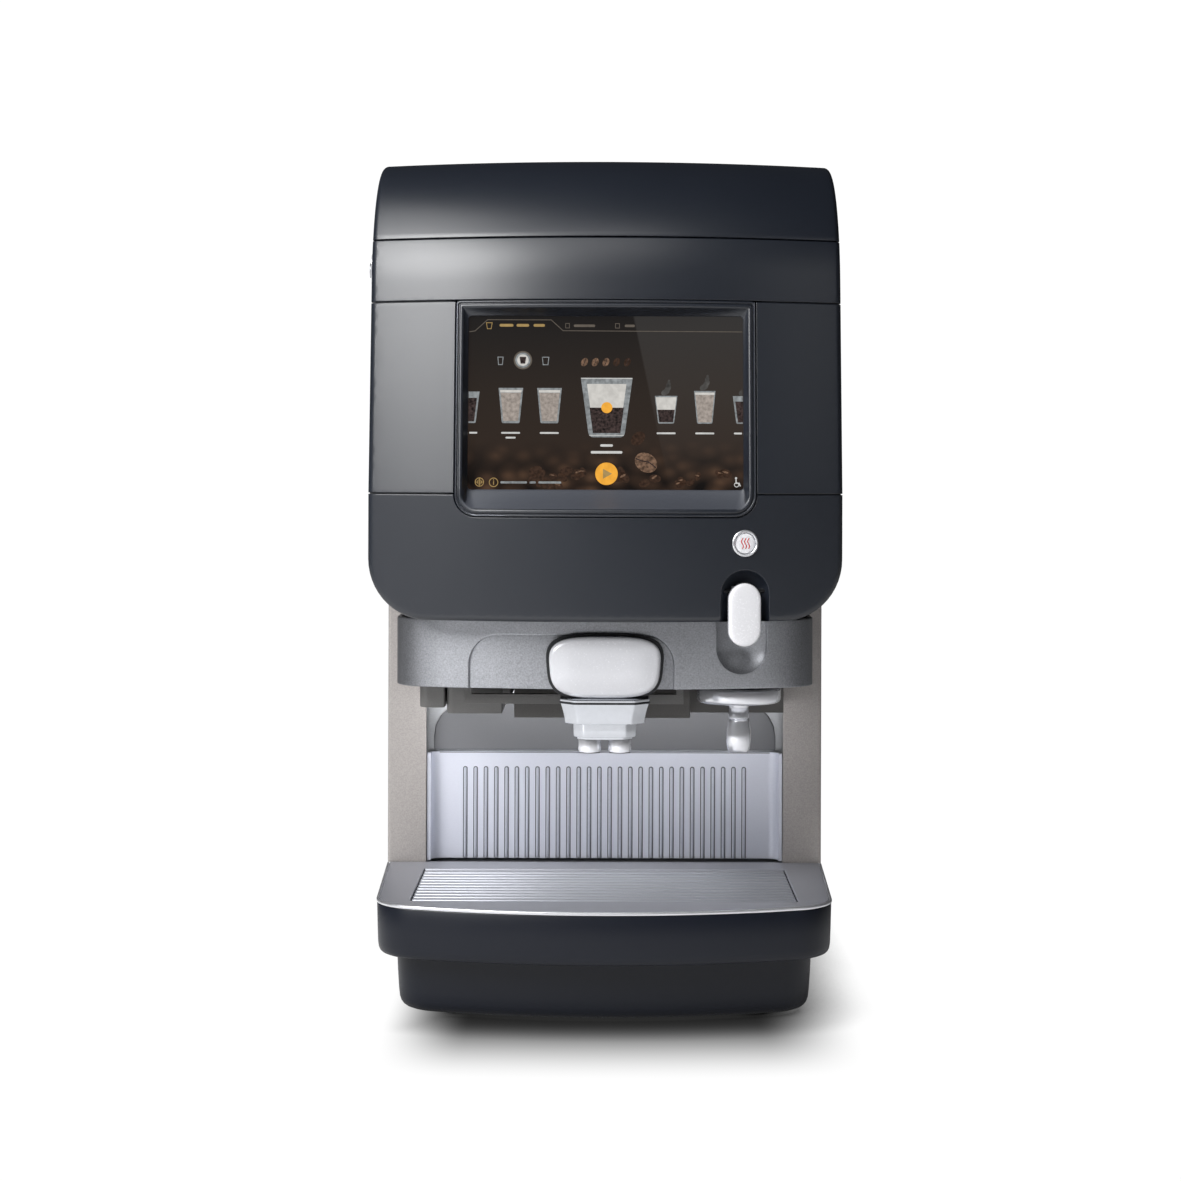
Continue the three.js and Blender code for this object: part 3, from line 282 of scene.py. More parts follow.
def screen_material():
    """Dark brown wallpaper: a slow gradient, soft out-of-focus beans low down, and a painted reflection: a lighter
    slanted part on the right, stronger towards the top.
    """
    material, tree, shader, coords = new_material("screen_wallpaper")
    place = axes(tree, coords)
    height = map_range(tree, place["Z"], 0.0, 1.0, *(corner[2] * MM for corner in BOX["touch_glass"]))
    base = ramp(tree, height, [
        (0.0, (0.010, 0.0075, 0.006)), (0.25, (0.030, 0.020, 0.015)), (0.55, (0.026, 0.019, 0.015)),
        (1.0, (0.013, 0.012, 0.012))])

    turned = add_node(tree, "Mapping", {"Vector": coords, "Scale": (1.0, 1.0, 1.35), "Rotation": (0.0, 0.5, 0.0)})
    cells = add_node(tree, "TexVoronoi", feature="SMOOTH_F1")
    feed(tree, cells, {"Vector": turned.outputs["Vector"], "Scale": 70.0, "Smoothness": 0.5})
    beans = ramp(tree, cells.outputs["Distance"], [
        (0.0, (0.115, 0.062, 0.036)), (0.45, (0.035, 0.020, 0.013)), (0.8, (0.004, 0.003, 0.003))])
    band = ramp(tree, height, [(0.04, (0.9,) * 3), (0.30, (0.0,) * 3)])
    pile = mix_colours(tree, band, base, beans)

    # Painted reflection: right of a slanted line the wallpaper is lifted a little, standing in for glare on the glass.
    slant = calculate(tree, "ADD", place["X"], calculate(tree, "MULTIPLY", place["Z"], 0.21))
    lighter = map_range(tree, slant, 0.0, 0.75, 0.1385, 0.1400)
    upper = calculate(tree, "MULTIPLY", lighter, height)
    feed(tree, shader, {
        "Emission Color": mix_colours(tree, upper, pile, (0.030, 0.029, 0.028, 1), "ADD"), "Emission Strength": 1.0,
        "Base Color": (0.003, 0.003, 0.003, 1), "Specular IOR Level": 0.06,
        "Roughness": spread(tree, noise(tree, coords, 60.0), 0.05, 0.10)})
    return material


MATERIALS["screen_wallpaper"] = screen_material()

# Which of the record's material slots each finish belongs to.
SLOTS = {
    "tray_paint": "midnight_paint", "tray_silver": "pewter_paint", "bar_silver": "silver_steel",
    "bright_trim": "chrome", "back_panel": "grey_plastic", "screen_wallpaper": "screen_glass",
    "red_mark": "pearl_plastic", "trim_gloss": "midnight_paint", "dark_steel": "steel",
    "bead_flank_painted_shade": "silver_steel", "bead_steel": "silver_steel", "soft_chrome": "chrome",
    "ledge_painted_highlight": "midnight_paint", "cover_grey": "grey_plastic",
    "housing_grey": "grey_plastic", "pearl_painted_highlight": "pearl_plastic",
}


def slot_of(finish):
    return "screen_glass" if finish.startswith("ui_") else SLOTS.get(finish, finish)


# ------------------------------------------------------------------ mesh helpers


def make_piece(name, verts, faces, body, finish, replaces=(), sharp=32.0, weld=True):
    """A shown piece from points in millimetres, riding on a body."""
    mesh = bpy.data.meshes.new(name)
    mesh.from_pydata([tuple(c * MM for c in v) for v in verts], [], faces)
    mesh.validate()
    bm = bmesh.new()
    bm.from_mesh(mesh)
    if weld:
        bmesh.ops.remove_doubles(bm, verts=bm.verts, dist=1e-7)
    bmesh.ops.recalc_face_normals(bm, faces=bm.faces)
    if bm.calc_volume(signed=True) < 0:
        bmesh.ops.reverse_faces(bm, faces=bm.faces)
    bm.to_mesh(mesh)
    bm.free()
    mesh.shade_smooth()
    mesh.set_sharp_from_angle(angle=math.radians(sharp))
    piece = bpy.data.objects.new(name, mesh)
    bpy.context.scene.collection.objects.link(piece)
    piece.data.materials.append(MATERIALS[finish])
    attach(piece, body)
    slot_of(finish)
    if replaces:
        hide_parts(*replaces)
    return piece


class Build:
    """Collects points and faces for one piece."""

    def __init__(self):
        self.verts = []
        self.faces = []

    def ring(self, points):
        start = len(self.verts)
        self.verts.extend(tuple(p) for p in points)
        return list(range(start, len(self.verts)))

    def bridge(self, first, second, closed=True):
        count = len(first)
        for k in range(count if closed else count - 1):
            n = (k + 1) % count
            self.faces.append((first[k], first[n], second[n], second[k]))

    def loft(self, rings, closed=True, loop=False):
        """Joins rings of matching points; the two ends are filled, or joined to each other by loop."""
        made = [self.ring(points) for points in rings]
        for first, second in zip(made, made[1:]):
            self.bridge(first, second, closed)
        if loop:
            self.bridge(made[-1], made[0], closed)
        else:
            self.faces += [tuple(made[0]), tuple(made[-1])]

    def done(self, name, body, finish, replaces=(), sharp=32.0, weld=True):
        return make_piece(name, self.verts, self.faces, body, finish, replaces, sharp, weld)


def circle(count):
    """The cosine and sine of count even steps round a full turn."""
    return [(math.cos(2 * math.pi * k / count), math.sin(2 * math.pi * k / count)) for k in range(count)]


def arc(degrees, *steps):
    """The sine of each step, and one less its cosine: how far an edge's rounding has gone across and in."""
    return [(math.sin(math.radians(a)), 1 - math.cos(math.radians(a))) for a in (degrees, *steps)]


def at_height(points, z):
    return [(x, y, z) for x, y in points]


def rounded_box(x0, x1, y0, y1, radius):
    return [(x0, y0, radius), (x1, y0, radius), (x1, y1, radius), (x0, y1, radius)]


def outline(corners, counts=None, pitch=4.0, turn=7.0, closed=True):
    """Points along a polygon whose corners (x, y, radius) are rounded, and the counts to repeat it.

    Two outlines made with the same counts match point for point. Also says which corner or edge
    each point belongs to.
    """
    n = len(corners)
    arcs = []
    for i, (x, y, radius) in enumerate(corners):
        here = np.array((x, y), float)
        if radius <= 1e-6 or (not closed and i in (0, n - 1)):
            arcs.append((here, here, None, 0.0))
            continue
        before = np.array(corners[i - 1][:2], float) - here
        after = np.array(corners[(i + 1) % n][:2], float) - here
        before /= np.linalg.norm(before)
        after /= np.linalg.norm(after)
        half = math.acos(max(-1.0, min(1.0, float(before @ after)))) / 2
        inward = before + after
        centre = here + inward / np.linalg.norm(inward) * radius / math.sin(half)
        start = here + before * radius / math.tan(half)
        end = here + after * radius / math.tan(half)
        a, b = start - centre, end - centre
        arcs.append((start, end, centre, math.atan2(a[0] * b[1] - a[1] * b[0], float(a @ b))))
    fresh = counts is None
    counts = counts or {}
    points, owners = [], []
    for i in range(n):
        start, end, centre, sweep = arcs[i]
        if centre is None:
            steps = counts.setdefault(("arc", i), 0) if fresh else counts[("arc", i)]
            for _ in range(steps + 1):
                points.append(start)
                owners.append(("corner", i))
        else:
            wanted = max(2, math.ceil(abs(math.degrees(sweep)) / turn))
            steps = counts.setdefault(("arc", i), wanted) if fresh else counts[("arc", i)]
            arm = start - centre
            for k in range(steps + 1):
                angle = sweep * k / max(steps, 1)
                c, s = math.cos(angle), math.sin(angle)
                points.append(centre + np.array((arm[0] * c - arm[1] * s, arm[0] * s + arm[1] * c)))
                owners.append(("corner", i))
        if not closed and i == n - 1:
            break
        nxt = arcs[(i + 1) % n][0]
        wanted = max(1, math.ceil(float(np.linalg.norm(nxt - end)) / pitch))
        steps = counts.setdefault(("line", i), wanted) if fresh else counts[("line", i)]
        for k in range(1, steps):
            points.append(end + (nxt - end) * k / steps)
            owners.append(("edge", i))
    return np.array(points), counts, owners


def outline_points(corners, counts=None, **how):
    return outline(corners, counts, **how)[0]


def inside(points, loops):
    """Even-odd test of points against closed loops."""
    hit = np.zeros(len(points), bool)
    px, py = points[:, 0], points[:, 1]
    for loop in loops:
        nxt = np.roll(loop, -1, axis=0)
        for (x0, y0), (x1, y1) in zip(loop, nxt):
            if abs(y1 - y0) < 1e-12:
                continue
            crosses = (y0 > py) != (y1 > py)
            hit ^= crosses & (px < (x1 - x0) * (py - y0) / (y1 - y0) + x0)
    return hit


def triangulate(loops, pitch):
    """Triangles over the area inside the loops, with an even grid of points added.

    The grid's points are numbered after the loops'. Four far corners keep nearly straight rims from
    confusing the triangulation; no triangle that uses them is kept.
    """
    rim = np.concatenate(loops)
    low, high = rim.min(0), rim.max(0)
    xs = np.arange(low[0] + pitch / 2, high[0], pitch)
    ys = np.arange(low[1] + pitch / 2, high[1], pitch)
    grid = np.array([(x, y) for x in xs for y in ys]).reshape(-1, 2)
    if len(grid):
        grid = grid[inside(grid, loops)]
    if len(grid):
        near = np.min(np.linalg.norm(grid[:, None, :] - rim[None, :, :], axis=2), axis=1)
        grid = grid[near > pitch * 0.55]
    solid = np.concatenate([rim, grid])
    margin = 3 * pitch
    far = np.array(rounded_box(low[0] - margin, high[0] + margin, low[1] - margin, high[1] + margin, 0))[:, :2]
    everything = np.concatenate([solid, far])
    edges, start = [], 0
    for loop in loops:
        edges += [(start + k, start + (k + 1) % len(loop)) for k in range(len(loop))]
        start += len(loop)
    out = geometry.delaunay_2d_cdt([Vector(p) for p in everything], edges, [], 0, 1e-5)
    source = [ids[0] if ids else None for ids in out[3]]
    faces = [[source[v] for v in face] for face in out[2]]
    faces = [f for f in faces if None not in f and len(set(f)) == 3 and max(f) < len(solid)]
    centres = np.array([everything[f].mean(0) for f in faces])
    keep = inside(centres, loops)
    return grid, [f for f, ok in zip(faces, keep) if ok]


def panel(name, body, finish, surface, corners, kinds, holes=(), replaces=(), pitch=6.0, wall_back=None,
          edge=EDGE, seam=SEAM_EDGE, skin=SKIN, line_pitch=4.0):
    """A skin over a curved surface with every edge rounded.

    surface(u, v, depth) gives a point; corners(wall, seam) gives the outline pulled in by those amounts;
    kinds names each edge "wall" or "seam". A wall edge is rounded by the edge radius and runs back to
    wall_back(u, v), a seam edge is rounded a little and is only as deep as the skin.
    """
    build = Build()
    shapes = [(corners, kinds)] + [(hole, ["seam"] * len(hole(0, 0))) for hole in holes]
    fronts, backs = [], []
    for shape, shape_kinds in shapes:
        _, counts, owners = outline(shape(0, 0), pitch=line_pitch)
        wall = []
        for what, index in owners:
            beside = [shape_kinds[index]] if what == "edge" else [shape_kinds[index - 1], shape_kinds[index]]
            wall.append("wall" in beside)
        wall = np.array(wall)

        def ring(wall_in, seam_in, wall_depth, seam_depth):
            points, _, _ = outline(shape(wall_in, seam_in), counts)
            depths = np.where(wall, wall_depth, seam_depth)
            return [surface(u, v, d) for (u, v), d in zip(points, depths)], points

        rings, first_loop = [], None
        for across, down in arc(0, 22.5, 45, 67.5, 90):
            away = 1 - across
            points, loop = ring(edge * away, seam * away, edge * down, seam * down)
            first_loop = loop if first_loop is None else first_loop
            rings.append(points)

        for wall_in, seam_in, seam_depth in ((0, 0, skin - 0.4), (skin, 0.2, skin)):
            points, _ = ring(wall_in, seam_in, skin, seam_depth)
            if wall_back:
                points = [wall_back(p) if w else p for p, w in zip(points, wall)]
            rings.append(points)
        last, last_loop = ring(skin, 0.6, skin, skin)
        rings.append(last)
        made = [build.ring(points) for points in rings]
        for a, b in zip(made, made[1:]):
            build.bridge(a, b)
        fronts.append((made[0], first_loop))
        backs.append((made[-1], last_loop))
    for loops, depth, step in ((fronts, 0.0, pitch), (backs, skin, pitch * 1.6)):
        extra, faces = triangulate([loop for _, loop in loops], step)
        ids = [i for ring_ids, _ in loops for i in ring_ids]
        ids += build.ring([surface(u, v, depth) for u, v in extra])
        build.faces += [tuple(ids[k] for k in face) for face in faces]
    piece = build.done(name, body, finish, replaces)
    piece.modifiers.new("normals", "WEIGHTED_NORMAL").keep_sharp = True


# ------------------------------------------------------------------ head and door skins


def lean_at(z):
    if z <= LEAN_START:
        return 0.0
    if z <= LEAN_END:
        return math.tan(LEAN) * (z - LEAN_START)
    angle = math.asin(min(1.0, (z - HEIGHT + ROLL_RADIUS) / ROLL_RADIUS))
    return STRAIGHT_LEAN + ROLL_RADIUS * (math.cos(LEAN) - math.cos(angle))


def bow_at(x):
    return FACE_BOW * (1 - (x / HALF) ** 2)


def face_y(x, z):
    return FACE_SIDE_Y + lean_at(z) - bow_at(x)


def head_surface(x, z, depth):
    return (x, face_y(x, z) + depth, z)


def to_door_back(point):
    return (point[0], DOOR_BACK, point[2])


def band(x0, x1, z0, z1, left_wall, right_wall):
    """Corner list of a plain four-sided door panel; wall sides are pulled in as walls, the rest as seams."""

    def corners(wall, seam):
        low_x = x0 + (wall if left_wall else seam)
        high_x = x1 - (wall if right_wall else seam)
        return [(low_x, z0 + seam, 0), (high_x, z0 + seam, 0), (high_x, z1 - seam, 0), (low_x, z1 - seam, 0)]

    kinds = ["seam", "wall" if right_wall else "seam", "seam", "wall" if left_wall else "seam"]
    return corners, kinds


def door_panel(name, x0, x1, z0, z1, left_wall, right_wall):
    corners, kinds = band(x0, x1, z0, z1, left_wall, right_wall)
    panel(name + "_skin", "door", "midnight_paint", head_surface, corners, kinds, replaces=(name,),
          wall_back=to_door_back)


BEZEL_HALF = BOX["screen_bezel"][1][0]
BEZEL_LOW = BOX["screen_bezel"][0][2]
BEZEL_HIGH = BOX["screen_bezel"][1][2]
BEZEL_CORNER = 17.0
RECESS_HALF = 19.2
RECESS_TOP = 357.6


def lower_fascia_corners(wall, seam):
    top = BOX["lower_fascia"][1][2] - seam
    low = HEAD_BOTTOM + wall
    out = BEZEL_HALF + 0.6 + seam
    under = BEZEL_LOW - 0.6 - seam
    left, right = CONTROL_X - RECESS_HALF - seam, CONTROL_X + RECESS_HALF + seam
    corner = HEAD_CORNER - wall
    return [
        (-HALF + wall, top, 0), (-HALF + wall, low, corner),
        (left, low, 0), (left, RECESS_TOP + seam, RECESS_HALF + seam - 0.2),
        (right, RECESS_TOP + seam, RECESS_HALF + seam - 0.2), (right, low, 0),
        (HALF - wall, low, corner), (HALF - wall, top, 0),
        (out, top, 0), (out, under, BEZEL_CORNER + 0.6 + seam),
        (-out, under, BEZEL_CORNER + 0.6 + seam), (-out, top, 0),
    ]


def round_hole(x, z, radius):
    def corners(_wall, seam):
        r = radius + seam
        return rounded_box(x - r, x + r, z - r, z + r, r * 0.999)

    return corners


def build_door_skins():
    upper, left, right = BOX["upper_fascia"], BOX["left_cheek"], BOX["right_cheek"]
    door_panel("upper_fascia", -HALF, HALF, upper[0][2], upper[1][2], True, True)
    door_panel("left_cheek", -HALF, left[1][0], left[0][2], left[1][2], True, False)
    door_panel("right_cheek", right[0][0], HALF, right[0][2], right[1][2], False, True)
    kinds = ["wall", "wall", "seam", "seam", "seam", "wall", "wall", "seam", "seam", "seam", "seam", "seam"]
    panel("lower_fascia_skin", "door", "midnight_paint", head_surface, lower_fascia_corners, kinds,
          holes=[round_hole(CONTROL_X, BUTTON_Z, 9.6)], replaces=("lower_fascia",), wall_back=to_door_back)


def build_seam_liner():
    """Dark strip behind the long seams of the door, so that daylight never shows through them."""
    build = Build()
    for z in (BOX["lower_fascia"][1][2] + 0.5, BOX["left_cheek"][1][2] + 0.5):
        rings = []
        for k in range(49):
            x = -HALF + 1.6 + (2 * HALF - 3.2) * k / 48
            if abs(x) < BEZEL_HALF + 6:
                if rings:
                    build.loft(rings)
                rings = []
                continue
            front = face_y(x, z) + 2.0
            rings.append([(x, y, up) for y, up in (
                (front, z - 1.4), (front + 0.9, z - 1.4), (front + 0.9, z + 1.4), (front, z + 1.4))])
        build.loft(rings)
    build.done("door_seam_liner", "door", "black_plastic")


def build_top_cover():
    bottom = BOX["top_cover"][0][2]
    flat = HALF - EDGE
    rounding = [(flat + EDGE * across, EDGE * down) for across, down in arc(15, 30, 45, 60, 75, 90)]
    stations = [(-x, inset) for x, inset in rounding[::-1]]
    stations += [(-flat + 2 * flat * k / 60, 0.0) for k in range(61)] + rounding

    def profile(inset):
        points = []
        start = math.asin((bottom - HEIGHT + ROLL_RADIUS) / ROLL_RADIUS)
        for away, up in ((SEAM_EDGE, 0.0), (SEAM_EDGE * 0.3, SEAM_EDGE * 0.3), (0.0, SEAM_EDGE)):
            points.append((lean_at(bottom + up) + away + inset, bottom + up))
        for k in range(1, 31):
            angle = start + (math.pi / 2 - start) * k / 30
            if k == 1 and ROLL_RADIUS * math.sin(angle) < ROLL_RADIUS * math.sin(start) + SEAM_EDGE:
                continue
            points.append((STRAIGHT_LEAN + ROLL_RADIUS * math.cos(LEAN) - (ROLL_RADIUS - inset) * math.cos(angle),
                           HEIGHT - ROLL_RADIUS + (ROLL_RADIUS - inset) * math.sin(angle)))
        return points

    rings = []
    for x, inset in stations:
        front = [(x, FACE_SIDE_Y + lean - bow_at(x), z) for lean, z in profile(inset)]
        top = HEIGHT - inset
        back = BACK - inset
        start_y = front[-1][1]
        flat_top = [(x, start_y + (back - 3 - start_y) * k / 8, top) for k in range(1, 9)]
        rear = [(x, back - 1.0, top - 0.3), (x, back - 0.3, top - 1.0), (x, back, top - 3.0),
                (x, back, bottom + SEAM_EDGE), (x, back - SEAM_EDGE, bottom)]
        rings.append(front + flat_top + rear)
    build = Build()
    build.loft(rings)
    build.done("top_cover_shell", "cabinet", "midnight_paint", ("top_cover",))


def build_cover_gasket():
    """Dark strip in the seam under the top cover, so that daylight never shows through; it clears the door."""
    bottom, door_top = BOX["top_cover"][0][2], BOX["upper_fascia"][1][2]
    cabinet_front = BOX["head_shell"][0][1]

    def path(inset):
        side = HALF - inset
        back = BACK - inset
        front = [(x, face_y(x, bottom) + inset + 0.5) for x in np.linspace(side, -side, 33)]
        return [(-side, cabinet_front), (-side, back), (side, back), (side, cabinet_front)] + front

    def low(y):
        return door_top + 0.2 if y < cabinet_front - 0.5 else door_top - 0.4

    build = Build()
    outer, inner = path(3.0), path(4.6)
    build.loft([
        [(x, y, low(y)) for x, y in outer], at_height(outer, bottom + 0.6),
        at_height(inner, bottom + 0.6), [(x, y, low(y)) for x, y in inner]], loop=True)
    build.done("top_cover_gasket", "cabinet", "rubber")


# ------------------------------------------------------------------ screen


SCREEN_LOW, SCREEN_HIGH, SCREEN_HALF = 420.4, 558.2, 109.0
SCREEN_BOTTOM_Y, SCREEN_TOP_Y = -241.0, -229.0
SCREEN_SLOPE = (SCREEN_TOP_Y - SCREEN_BOTTOM_Y) / (SCREEN_HIGH - SCREEN_LOW)


def screen_y(z):
    return SCREEN_BOTTOM_Y + (z - SCREEN_LOW) * SCREEN_SLOPE


def frame_corners(half, low, high, corner_low, corner_high):
    return [(-half, low, corner_low), (half, low, corner_low), (half, high, corner_high), (-half, high, corner_high)]


def build_bezel():
    _, counts, _ = outline(frame_corners(BEZEL_HALF, BEZEL_LOW, BEZEL_HIGH, BEZEL_CORNER, 3.0), pitch=5.0, turn=6.0)
    inner = outline_points(frame_corners(SCREEN_HALF, SCREEN_LOW, SCREEN_HIGH, 3.0, 3.0), counts)
    rings = []
    section = [(0.0, 3.2), (0.0, -0.2), (0.35, -0.65), (0.9, -0.8), (1.5, -0.65), (1.8, -0.2), (2.1, 0.3), (2.5, 0.3),
               (2.8, -0.4), (3.3, -0.8), (4.4, -0.8), (5.4, -0.3), (6.0, 0.5)]
    for inset, depth in section:
        shape = frame_corners(BEZEL_HALF - inset, BEZEL_LOW + inset, BEZEL_HIGH - inset, BEZEL_CORNER - inset * 0.8,
                              max(0.6, 3.0 - inset * 0.5))
        rings.append([(x, face_y(x, z) + depth, z) for x, z in outline_points(shape, counts)])
    outer = rings[-1]
    for t in (0.12, 0.3, 0.5, 0.7, 0.88, 0.96):
        sink = t + 0.10 * math.sin(math.pi * t)
        ring = []
        for (ox, oy, oz), (ix, iz) in zip(outer, inner):
            x, z = ox + (ix - ox) * t, oz + (iz - oz) * t
            ring.append((x, oy + (screen_y(iz) - 2.0 - oy) * sink, z))
        rings.append(ring)
    rings += [[(x, screen_y(z) - proud, z) for x, z in inner] for proud in (1.6, 0.35)]
    rings.append([(x * 0.985, face_y(x, z) + 10.0, 484.5 + (z - 484.5) * 0.98) for x, _, z in outer])
    build = Build()
    build.loft(rings, loop=True)
    piece = build.done("bezel_frame", "door", "midnight_paint", ("screen_bezel",), sharp=50)
    # The upward slope under the screen takes a lighter copy of the paint: a painted highlight.
    piece.data.materials.append(MATERIALS["ledge_painted_highlight"])
    for face in piece.data.polygons:
        height = face.center.z / MM
        on_slope = BEZEL_LOW + 6.0 < height < SCREEN_LOW and face.normal.y < 0.5
        if on_slope and abs(face.normal.z) > abs(face.normal.x):
            face.material_index = 1

    # Bright line that runs down both sides and round the lower corners.
    trim = outline_points([
        (-BEZEL_HALF + 0.9, BEZEL_HIGH - 1.0, 0), (-BEZEL_HALF + 0.9, BEZEL_LOW + 0.9, BEZEL_CORNER - 0.9),
        (-BEZEL_HALF + 40.0, BEZEL_LOW + 0.9, 0)], pitch=5.0, turn=6.0, closed=False)
    lines = Build()
    for side in (1, -1):
        path = [(side * x, z) for x, z in trim]
        start, count = len(lines.verts), len(path)
        lines.loft([[(x + side * 0.45 * c, face_y(x, z) - 0.75 + 0.35 * s, z + 0.45 * c) for x, z in path]
                    for c, s in circle(8)], closed=False, loop=True)
        lines.faces += [tuple(start + k * count + end for k in range(8)) for end in (0, count - 1)]
    lines.done("bezel_trim_lines", "door", "trim_gloss")


def on_screen(x, z, lift):
    """A point over the leaning glass, lift millimetres towards the viewer."""
    length = math.hypot(1.0, SCREEN_SLOPE)
    return (x, screen_y(z) - lift / length, z + lift * SCREEN_SLOPE / length)


def screen_marks(name, shapes, finish, lift=0.05, thick=0.10):
    """Thin flat marks on the glass, from outlines in x and height above the screen's lower edge.

    A shape is one outline, or a pair of matching outlines for a mark with a hole.
    """
    build = Build()
    for shape in shapes:
        outlines = shape if isinstance(shape[0][0], tuple) else (shape,)
        levels = [[[on_screen(x, SCREEN_LOW + up, height) for x, up in outline_points]
                   for height in (lift, lift + thick)] for outline_points in outlines]
        if len(levels) == 1:
            build.loft(levels[0])
        else:
            build.loft(levels[0] + levels[1][::-1], loop=True)
    build.done(name, "door", finish, weld=False)


def bar(x, up, width, height):
    corners = rounded_box(x - width / 2, x + width / 2, up - height / 2, up + height / 2, height * 0.45)
    return [tuple(p) for p in outline_points(corners, turn=30.0, pitch=50)]


def oval(x, up, rx, ry, turn=0.0, count=28):
    c, s = math.cos(turn), math.sin(turn)
    return [(x + rx * px * c - ry * py * s, up + rx * px * s + ry * py * c) for px, py in circle(count)]


def ring_mark(x, up, outer, inner):
    return [(oval(x, up, outer, outer), oval(x, up, inner, inner))]


def stroke(points, width):
    """Straight bars joining points, for lines and icons."""
    parts = []
    for (x0, y0), (x1, y1) in zip(points, points[1:]):
        length = math.hypot(x1 - x0, y1 - y0)
        nx, ny = -(y1 - y0) / length * width / 2, (x1 - x0) / length * width / 2
        ex, ey = (x1 - x0) / length * width / 2, (y1 - y0) / length * width / 2
        parts.append([(x0 + nx - ex, y0 + ny - ey), (x0 - nx - ex, y0 - ny - ey), (x1 - nx + ex, y1 - ny + ey),
                      (x1 + nx + ex, y1 + ny + ey)])
    return parts


def within_screen(points):
    limit = SCREEN_HALF - 0.4
    return [(max(-limit, min(limit, x)), up) for x, up in points]


def cup(x, base, top_width, low_width, height, corner=1.2):
    """Tapered tumbler outline, cut off at the screen's edge."""
    return within_screen(outline_points([
        (x - low_width / 2, base, corner), (x + low_width / 2, base, corner),
        (x + top_width / 2, base + height, 0.2), (x - top_width / 2, base + height, 0.2)], turn=25.0, pitch=60))


def slice_of_cup(x, base, top_width, low_width, height, low, high, inset=1.0):
    """The part of a tumbler's filling between two shares of its height."""

    def half(share):
        return (low_width + (top_width - low_width) * share) / 2 - inset

    return within_screen([
        (x - half(low), base + height * low), (x + half(low), base + height * low),
        (x + half(high), base + height * high), (x - half(high), base + height * high)])


# Drinks: place across, width at the top and the foot, height, and which filling.
DRINKS = (
    (-109.0, 18, 12, 25, "black"), (-75.2, 19.5, 14, 28, "iced"), (-44.6, 19.5, 14, 28, "iced"),
    (47.9, 18, 12.5, 22, "layered"), (78.5, 17, 12, 26, "plain"), (109.5, 17.5, 12, 22, "black"))
# Fillings: layer, its lower and upper share of the glass's height, and the thickness of the glass.
FILLINGS = {
    "iced": (("latte", 0.06, 0.86, 1.3), ("milk", 0.87, 0.94, 1.0)),
    "layered": (("coffee", 0.05, 0.50, 0.9), ("milk", 0.50, 0.95, 0.6)),
    "plain": (("latte", 0.04, 0.88, 0.8), ("milk", 0.88, 0.95, 0.6)),
    "black": (("coffee", 0.05, 0.80, 1.4),),
}
DRINK_BASE = 52.5
LABEL_BASE = 44.8
TWO_LINE_LABEL = -75.2
STRENGTH_LIT = 3


def build_glass():
    glass = BOX["touch_glass"]
    low, high, half = glass[0][2], glass[1][2], glass[1][0]
    shape, counts, _ = outline(frame_corners(half, low, high, 3.0, 3.0), pitch=12.0, turn=15.0)
    small = outline_points(frame_corners(half - 0.4, low + 0.4, high - 0.4, 2.6, 2.6), counts)
    build = Build()
    build.loft([[(x, screen_y(z) + depth, z) for x, z in points] for points, depth in (
        (small, 2.9), (shape, 2.5), (shape, 0.4), (small, 0.02))])
    build.done("screen_glass_plate", "door", "screen_wallpaper", ("touch_glass",))


def mark_menu():
    """Along the top of the screen: tabs, cup sizes with the middle one chosen, and strength."""
    wide = SCREEN_HALF - 0.8
    tab = [(-wide, 125.2), (-104.0, 125.8), (-94.0, 134.8), (-43.5, 134.8), (-34.0, 126.2), (wide, 125.6)]
    screen_marks("ui_tab_line", stroke(tab, 0.55), "ui_dim")
    screen_marks("ui_tab_label", [bar(-79.0, 130.4, 11, 2.2), bar(-66.0, 130.4, 10, 2.2), bar(-53.0, 130.4, 9, 2.2)]
                 + stroke([(-95, 132.4), (-90.4, 132.4), (-91.2, 127.6), (-94.2, 127.6), (-95, 132.4)], 0.5), "ui_gold")
    screen_marks("ui_tab_dim", [bar(-17.0, 130.2, 17, 2.0), bar(19.0, 130.2, 8, 2.0)]
                 + stroke([(-32.0, 132), (-29.0, 132), (-29.0, 128.4), (-32.0, 128.4), (-32.0, 132)], 0.45)
                 + stroke([(7.6, 132), (10.8, 132), (10.8, 128.4), (7.6, 128.4), (7.6, 132)], 0.45), "ui_dim")

    for x, scale in ((-83.6, 0.8), (-47.8, 1.0)):
        shape = [(x - 2.6 * scale, 105), (x - 1.9 * scale, 99), (x + 1.9 * scale, 99), (x + 2.6 * scale, 105),
                 (x - 2.6 * scale, 105)]
        screen_marks("ui_size_icon_" + ("small" if x < -60 else "large"), stroke(shape, 0.6), "ui_glass")
    screen_marks("ui_size_halo", [oval(-65.8, 102.6, 7.3, 7.3)], "ui_dim", 0.04, 0.04)
    screen_marks("ui_size_glow", [oval(-65.8, 102.6, 6.0, 6.0)], "ui_glass", 0.1, 0.04)
    screen_marks("ui_size_disc", [oval(-65.8, 102.6, 4.6, 4.6)], "ui_milk", 0.15, 0.04)
    screen_marks("ui_size_cup", [[(-68.4, 105.2), (-67.6, 99.8), (-64.0, 99.8), (-63.2, 105.2)]], "ui_coffee", 0.22)

    for k in range(5):
        x = -16.9 + 8.5 * k
        finish = "ui_bean" if k < STRENGTH_LIT else "ui_bean_dark"
        screen_marks(f"ui_strength_{k + 1}", [oval(x, 101.2, 2.5, 3.5, -0.5)], finish)
        screen_marks(f"ui_strength_line_{k + 1}", stroke([(x - 1.0, 98.6), (x + 0.1, 101.0), (x + 0.9, 103.8)], 0.5),
                     "ui_coffee", 0.2)


